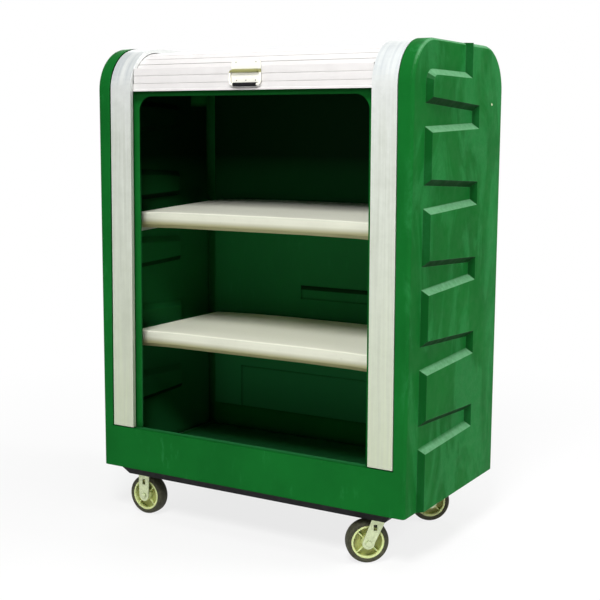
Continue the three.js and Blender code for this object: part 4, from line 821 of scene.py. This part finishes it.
def make_slat(name, outline, half, along, outwards, at):
    """A slat across the width: its profile runs along one direction and its face looks outwards."""
    matrix = basis(along.cross(outwards), along, outwards, at)
    obj = object_from(name, lambda bm: prism(bm, outline, -half, half, SLAT_END), matrix)
    smooth_below(obj, SLAT_SMOOTH_ANGLE)
    return paint(obj, "white_slats")


# Operators


class CART_OT_stage(bpy.types.Operator):
    """Sets the camera, the pale floor, the soft lamps and the white room."""

    bl_idname = "cart.stage"
    bl_label = "Set the stage"

    def execute(self, context):
        scene = context.scene
        self.view = scene.cart_view
        self.camera(scene)
        scene.view_settings.view_transform = "Standard"
        for name, place, size in LAMPS:
            self.lamp(f"{name}_light", place, size, getattr(self.view, f"{name}_power"))
        self.floor()
        scene.world = self.world()
        return {"FINISHED"}

    def camera(self, scene):
        view = self.view
        level = Vector((math.cos(view.heading), math.sin(view.heading), 0))
        flat = math.cos(view.dip)
        forward = Vector((-math.sin(view.heading) * flat, math.cos(view.heading) * flat, -math.sin(view.dip)))
        plumb = level.cross(forward)
        right = level * math.cos(view.roll) + plumb * math.sin(view.roll)
        up = plumb * math.cos(view.roll) - level * math.sin(view.roll)
        data = bpy.data.cameras.new("photo_camera")
        data.sensor_width = SENSOR_WIDTH
        data.sensor_fit = "HORIZONTAL"
        data.lens = view.focal
        data.shift_y = view.rise
        camera = bpy.data.objects.new("photo_camera", data)
        camera.matrix_world = basis(right, up, -forward, (view.camera_x, view.camera_y, view.camera_z))
        scene.collection.objects.link(camera)
        scene.camera = camera

    def lamp(self, name, place, size, power):
        data = bpy.data.lights.new(name, "AREA")
        data.shape = "SQUARE"
        data.size = size
        data.energy = power
        lamp = bpy.data.objects.new(name, data)
        lamp.location = place
        lamp.rotation_euler = (LAMP_AIM - Vector(place)).to_track_quat("-Z", "Y").to_euler()
        bpy.context.scene.collection.objects.link(lamp)

    def floor(self):
        """White to the eye and paper to the light: not quite white under the cart, wholly so further off."""
        view = self.view
        obj = object_from(
            "floor", lambda bm: bmesh.ops.create_grid(bm, x_segments=4, y_segments=4, size=FLOOR_REACH)
        )
        material = bpy.data.materials.new("pale_floor")
        tree = Tree(material, "ShaderNodeOutputMaterial")
        measure = tree.node("ShaderNodeVectorMath", operation="LENGTH")
        tree.link(tree.node("ShaderNodeTexCoord").outputs["Object"], measure.inputs[0])
        distance = measure.outputs["Value"]
        fading = tree.range(distance, view.fade_start, view.fade_end, view.floor_white, 1.0)
        paper = tree.give(tree.node("ShaderNodeBsdfDiffuse"), Color=(*[view.floor_grey] * 3, 1))
        glow = tree.give(tree.node("ShaderNodeEmission"), Strength=1.0)
        mixer = tree.node("ShaderNodeMixShader")
        sources = (tree.times(tree.seen(), fading), paper.outputs[0], glow.outputs[0])
        for source, socket in zip(sources, mixer.inputs):
            tree.link(source, socket)
        tree.link(mixer.outputs[0], tree.surface)
        obj.data.materials.append(material)

    def world(self):
        """White to the eye and dim to the cart."""
        world = bpy.data.worlds.new("white_room")
        tree = Tree(world, "ShaderNodeOutputWorld")
        strength = tree.range(tree.seen(), 0.0, 1.0, self.view.world_light, 1.0)
        back = tree.give(tree.node("ShaderNodeBackground"), Color=(1, 1, 1, 1), Strength=strength)
        tree.link(back.outputs[0], tree.surface)
        return world


class CART_OT_cabinet(bpy.types.Operator):
    """Finishes the moulded cabinet, the pan, the channels, the shelves and their rails."""

    bl_idname = "cart.cabinet"
    bl_label = "Finish the cabinet"

    def execute(self, context):
        paint_node("cabinet_shell", "green_plastic")
        paint_node("base_pan", "black_plastic")
        paint_node("left_channel", "aluminium")
        paint_node("right_channel", "aluminium")
        for level in ("upper", "lower"):
            dressed_copy(f"{level}_shelf", "cream_plastic", "cart", sizes().shelf_round)
            for side in ("left", "right"):
                paint_node(f"{level}_{side}_rail", "aluminium")
        self.rivet()
        return {"FINISHED"}

    def rivet(self):
        """A small domed rivet on the upmost box of the right side, towards the rear."""
        shell = frame["nodes"]["cabinet_shell"]
        sight = shell.matrix_world.inverted() @ RIVET_SIGHT
        hit, place, outwards, _ = shell.ray_cast(sight, Vector((-1, 0, 0)))
        if not hit:
            raise RuntimeError("the right side was not found for the rivet")
        radius = sizes().rivet_radius
        profile = [(NEARLY_AXIS, RIVET_FOOT), (radius, RIVET_FOOT), (radius, RIVET_RIM)]
        for turn in DOME_TURNS:
            profile.append((radius * math.cos(turn), RIVET_RIM + RIVET_DOME * math.sin(turn)))
        profile.append((NEARLY_AXIS, RIVET_RIM + RIVET_DOME))
        turned = outwards.to_track_quat("Y", "Z").to_matrix().to_4x4()
        at = Matrix.Translation(shell.matrix_world @ place)
        obj = object_from("side_rivet", lambda bm: lathe(bm, profile, RIVET_STEPS), at @ turned)
        smooth_below(obj, SMOOTH_ANGLE)
        paint(obj, "plated_steel")
        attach(obj, "cart")


class CART_OT_tambour(bpy.types.Operator):
    """Makes the slats of the tambour: roof, curves, front run and back run."""

    bl_idname = "cart.tambour"
    bl_label = "Make the tambour"

    def execute(self, context):
        s = sizes()
        slat_angle = QUARTER_TURN / s.slats_per_curve
        self.pitch = 2 * s.curve_radius * math.tan(slat_angle / 2)
        self.width = self.pitch - s.slat_gap
        self.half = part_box("roof_slats")[1].x
        self.curves(slat_angle)
        self.roof()
        self.front_run()
        self.back_run()
        self.tail()
        return {"FINISHED"}

    def shared(self, low, high):
        """How many slats share a stretch, and the pitch that makes them fill it."""
        count = round((high - low) / self.pitch)
        return count, (high - low) / count

    def curves(self, slat_angle):
        s = sizes()
        outline = slat_outline(self.width, s.slat_thickness)
        roof_low, roof_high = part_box("roof_slats")
        top = roof_low.z - s.curve_radius
        for place, centre, side in (
            ("front", roof_low.y - s.slat_gap, -1),
            ("back", roof_high.y + s.slat_gap, 1),
        ):
            for index in range(CURVE_SLATS[place]):
                turn = QUARTER_TURN - (index + 0.5) * slat_angle
                outwards = Vector((0, side * math.cos(turn), math.sin(turn)))
                along = Vector((0, side * math.sin(turn), -math.cos(turn)))
                at = Vector((0, centre, top)) + outwards * s.curve_radius
                node = f"{place}_curve_slat_{index + 1}"
                slat = make_slat(node + "_dressed", outline, self.half, along, outwards, at)
                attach(slat, "cart")
                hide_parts(node)

    def roof(self):
        s = sizes()
        low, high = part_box("roof_slats")
        count, pitch = self.shared(low.y, high.y)
        outline = slat_outline(pitch - s.slat_gap, s.slat_thickness)
        for index in range(count):
            at = (0, low.y + (index + 0.5) * pitch, low.z)
            slat = make_slat(f"roof_slat_{index + 1}", outline, self.half, BACKWARDS, UPWARDS, at)
            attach(slat, "cart")
            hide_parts("roof_slats")

    def moving(self, slat, share, body):
        """Finds by halving the point of an easing blend that has the slat's share of a sliding body's travel,
        and bakes the slat's placement into its mesh.

        The blend eases in and out along its length.
        """
        low, high = 0.0, 1.0
        for _ in range(HALVINGS):
            middle = (low + high) / 2
            if middle * middle * (3 - 2 * middle) < share:
                low = middle
            else:
                high = middle
        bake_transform(slat)

    def front_run(self):
        """The run that the door draws down, stacked inside the door's bottom rail at rest.

        The first slat lies just above the stack, where it fits between the channels' lips.
        """
        s = sizes()
        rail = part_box("door_panel")
        travel = joint("door_slide")["range_m"][1]
        outline = slat_outline(self.width, s.slat_thickness - RUN_THINNER)
        back = rail[1].y - RUN_GAP
        stack = rail[0].z + RUN_GAP + self.width / 2
        for index in range(s.slat_count):
            first = index == 0
            at = (0, back, stack + self.pitch if first else stack)
            half = s.channel_reach if first else self.half
            slat = make_slat(f"front_run_slat_{index + 1}", outline, half, UPWARDS, -BACKWARDS, at)
            share = 0.0 if first else self.pitch * (index - 1) / travel
            self.moving(slat, min(share, 1.0), "door")
            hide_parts("front_curtain")

    def back_run(self):
        """The run behind the cabinet. The tail bar gathers it at the top when the door comes down."""
        s = sizes()
        low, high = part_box("back_curtain")
        tail_low, tail_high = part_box("curtain_tail_bar")
        travel = joint("tail_slide")["range_m"][1]
        count, pitch = self.shared(low.z, high.z)
        outline = slat_outline(pitch - s.slat_gap, s.slat_thickness - RUN_THINNER)
        back = tail_low.y + RUN_GAP
        gathered = (tail_low.z + tail_high.z) / 2 + travel
        for index in range(count):
            z = low.z + (index + 0.5) * pitch
            slat = make_slat(
                f"back_run_slat_{index + 1}", outline, self.half, -UPWARDS, BACKWARDS, (0, back, z)
            )
            self.moving(slat, max(0.0, min(1.0, (gathered - z) / travel)), "curtain_tail")
            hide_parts("back_curtain")

    def tail(self):
        low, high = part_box("curtain_tail_bar")
        outline = slat_outline(high.z - low.z, sizes().slat_thickness)
        at = (0, low.y, (low.z + high.z) / 2)
        bar = make_slat("tail_bar_dressed", outline, self.half, -UPWARDS, BACKWARDS, at)
        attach(bar, "curtain_tail")
        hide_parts("curtain_tail_bar")


class CART_OT_door(bpy.types.Operator):
    """Finishes the stiff bottom of the door and its handle."""

    bl_idname = "cart.door"
    bl_label = "Make the door and its handle"

    def execute(self, context):
        rounding = sizes().edge_round
        dressed_copy("door_panel", "white_slats", "door", rounding / 2)
        plate = dressed_copy("handle_plate", "plated_steel", "door", rounding / 3)
        rivet_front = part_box("handle_plate")[1].y - PLATE_RIVETS
        plate.data.materials[0] = handle_paint("handle_plate_paint", rivet_front)
        bail = dressed_copy("handle_bail", "plated_steel", "bail", rounding / 2, WIRE_ROUND_ANGLE)
        bail.data.materials[0] = handle_paint("handle_bail_paint")
        dressed_copy("handle_grip", "black_plastic", "bail", rounding / 2, WIRE_ROUND_ANGLE)
        return {"FINISHED"}


class CART_OT_casters(bpy.types.Operator):
    """Makes the tyres and finishes the forks, plates, axles and wheel centres."""

    bl_idname = "cart.casters"
    bl_label = "Make the casters"

    def execute(self, context):
        rounding = sizes().edge_round
        for place in WHEEL_PLACES:
            swivels = place in SWIVEL_PLACES
            holder = f"{place}_swivel" if swivels else "cart"
            dressed_copy(f"{place}_fork", "plated_steel", holder, rounding / 2)
            dressed_copy(f"{place}_axle", "plated_steel", holder, rounding / 2)
            hub = dressed_copy(f"{place}_hub", "cream_nylon", f"{place}_wheel", rounding)
            spin = joint(f"{place}_wheel_spin")
            hub.data.materials[0] = cream_nylon(f"{place}_wheel_centre", spin["pos_m"], spin["axis"])
            self.tyre(place, Vector(spin["pos_m"]), Vector(spin["axis"]).normalized())
            if swivels:
                dressed_copy(f"{place}_plate", "plated_steel", "cart", rounding / 2)
                dressed_copy(f"{place}_kingpin", "plated_steel", "cart", rounding / 2)
        return {"FINISHED"}

    def tyre(self, place, centre, axle):
        """A moulded tyre with a crowned tread, fine side lines and a rim bead.

        Its half profile of (radius, y) points goes from the middle of the tread to the rim.
        """
        outer = centre.z - FLOOR_GAP
        wall = HALF_TREAD * 0.99
        groove = sizes().tyre_groove
        side = [
            (outer, 0.0),
            (outer - 0.15 * MM, HALF_TREAD * 0.35),
            (outer - 0.9 * MM, HALF_TREAD * 0.62),
            (outer - 2.6 * MM, HALF_TREAD * 0.82),
            (outer - 5.2 * MM, HALF_TREAD * 0.94),
            (outer - 7.4 * MM, wall),
            (outer - 7.8 * MM, wall - groove),
            (outer - 8.6 * MM, wall - groove),
            (outer - 9.0 * MM, HALF_TREAD),
            (RIM_RADIUS + 4.2 * MM, wall),
            (RIM_RADIUS + 1.2 * MM, HALF_TREAD * 0.96),
            (RIM_RADIUS, HALF_TREAD * 0.92),
        ]
        profile = side + [(r, -y) for r, y in reversed(side[1:])]
        turned = basis(axle.cross(UPWARDS), axle, UPWARDS, centre)
        obj = object_from(f"{place}_tyre_dressed", lambda bm: lathe(bm, profile, TYRE_STEPS), turned)
        smooth_below(obj, SMOOTH_ANGLE)
        paint(obj, "rubber")
        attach(obj, f"{place}_wheel")
        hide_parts(f"{place}_tyre")


# Panel and registration


STEPS = (CART_OT_stage, CART_OT_cabinet, CART_OT_tambour, CART_OT_door, CART_OT_casters)
GROUPS = {"cart_sizes": CartSizes, "cart_colours": CartColours, "cart_view": CartView}


class CART_PT_panel(bpy.types.Panel):
    """Lists the cart's making in order, with all sizes, colours and view settings."""

    bl_label = "Tambour door cart"
    bl_idname = "CART_PT_panel"
    bl_space_type = "VIEW_3D"
    bl_region_type = "UI"
    bl_category = "Cart"

    def draw(self, context):
        for step in STEPS:
            self.layout.operator(step.bl_idname)
        for group in GROUPS:
            settings = getattr(context.scene, group)
            box = self.layout.box()
            for name in settings.bl_rna.properties.keys():
                if name not in ("rna_type", "name"):
                    box.prop(settings, name)


CLASSES = (*GROUPS.values(), *STEPS, CART_PT_panel)


def register():
    for cls in CLASSES:
        bpy.utils.register_class(cls)
    for name, group in GROUPS.items():
        setattr(bpy.types.Scene, name, bpy.props.PointerProperty(type=group))


def unregister():
    for name in GROUPS:
        delattr(bpy.types.Scene, name)
    for cls in reversed(CLASSES):
        bpy.utils.unregister_class(cls)


def main():
    register()
    for step in STEPS:
        group, name = step.bl_idname.split(".")
        getattr(getattr(bpy.ops, group), name)()


if __name__ == "__main__":
    main()
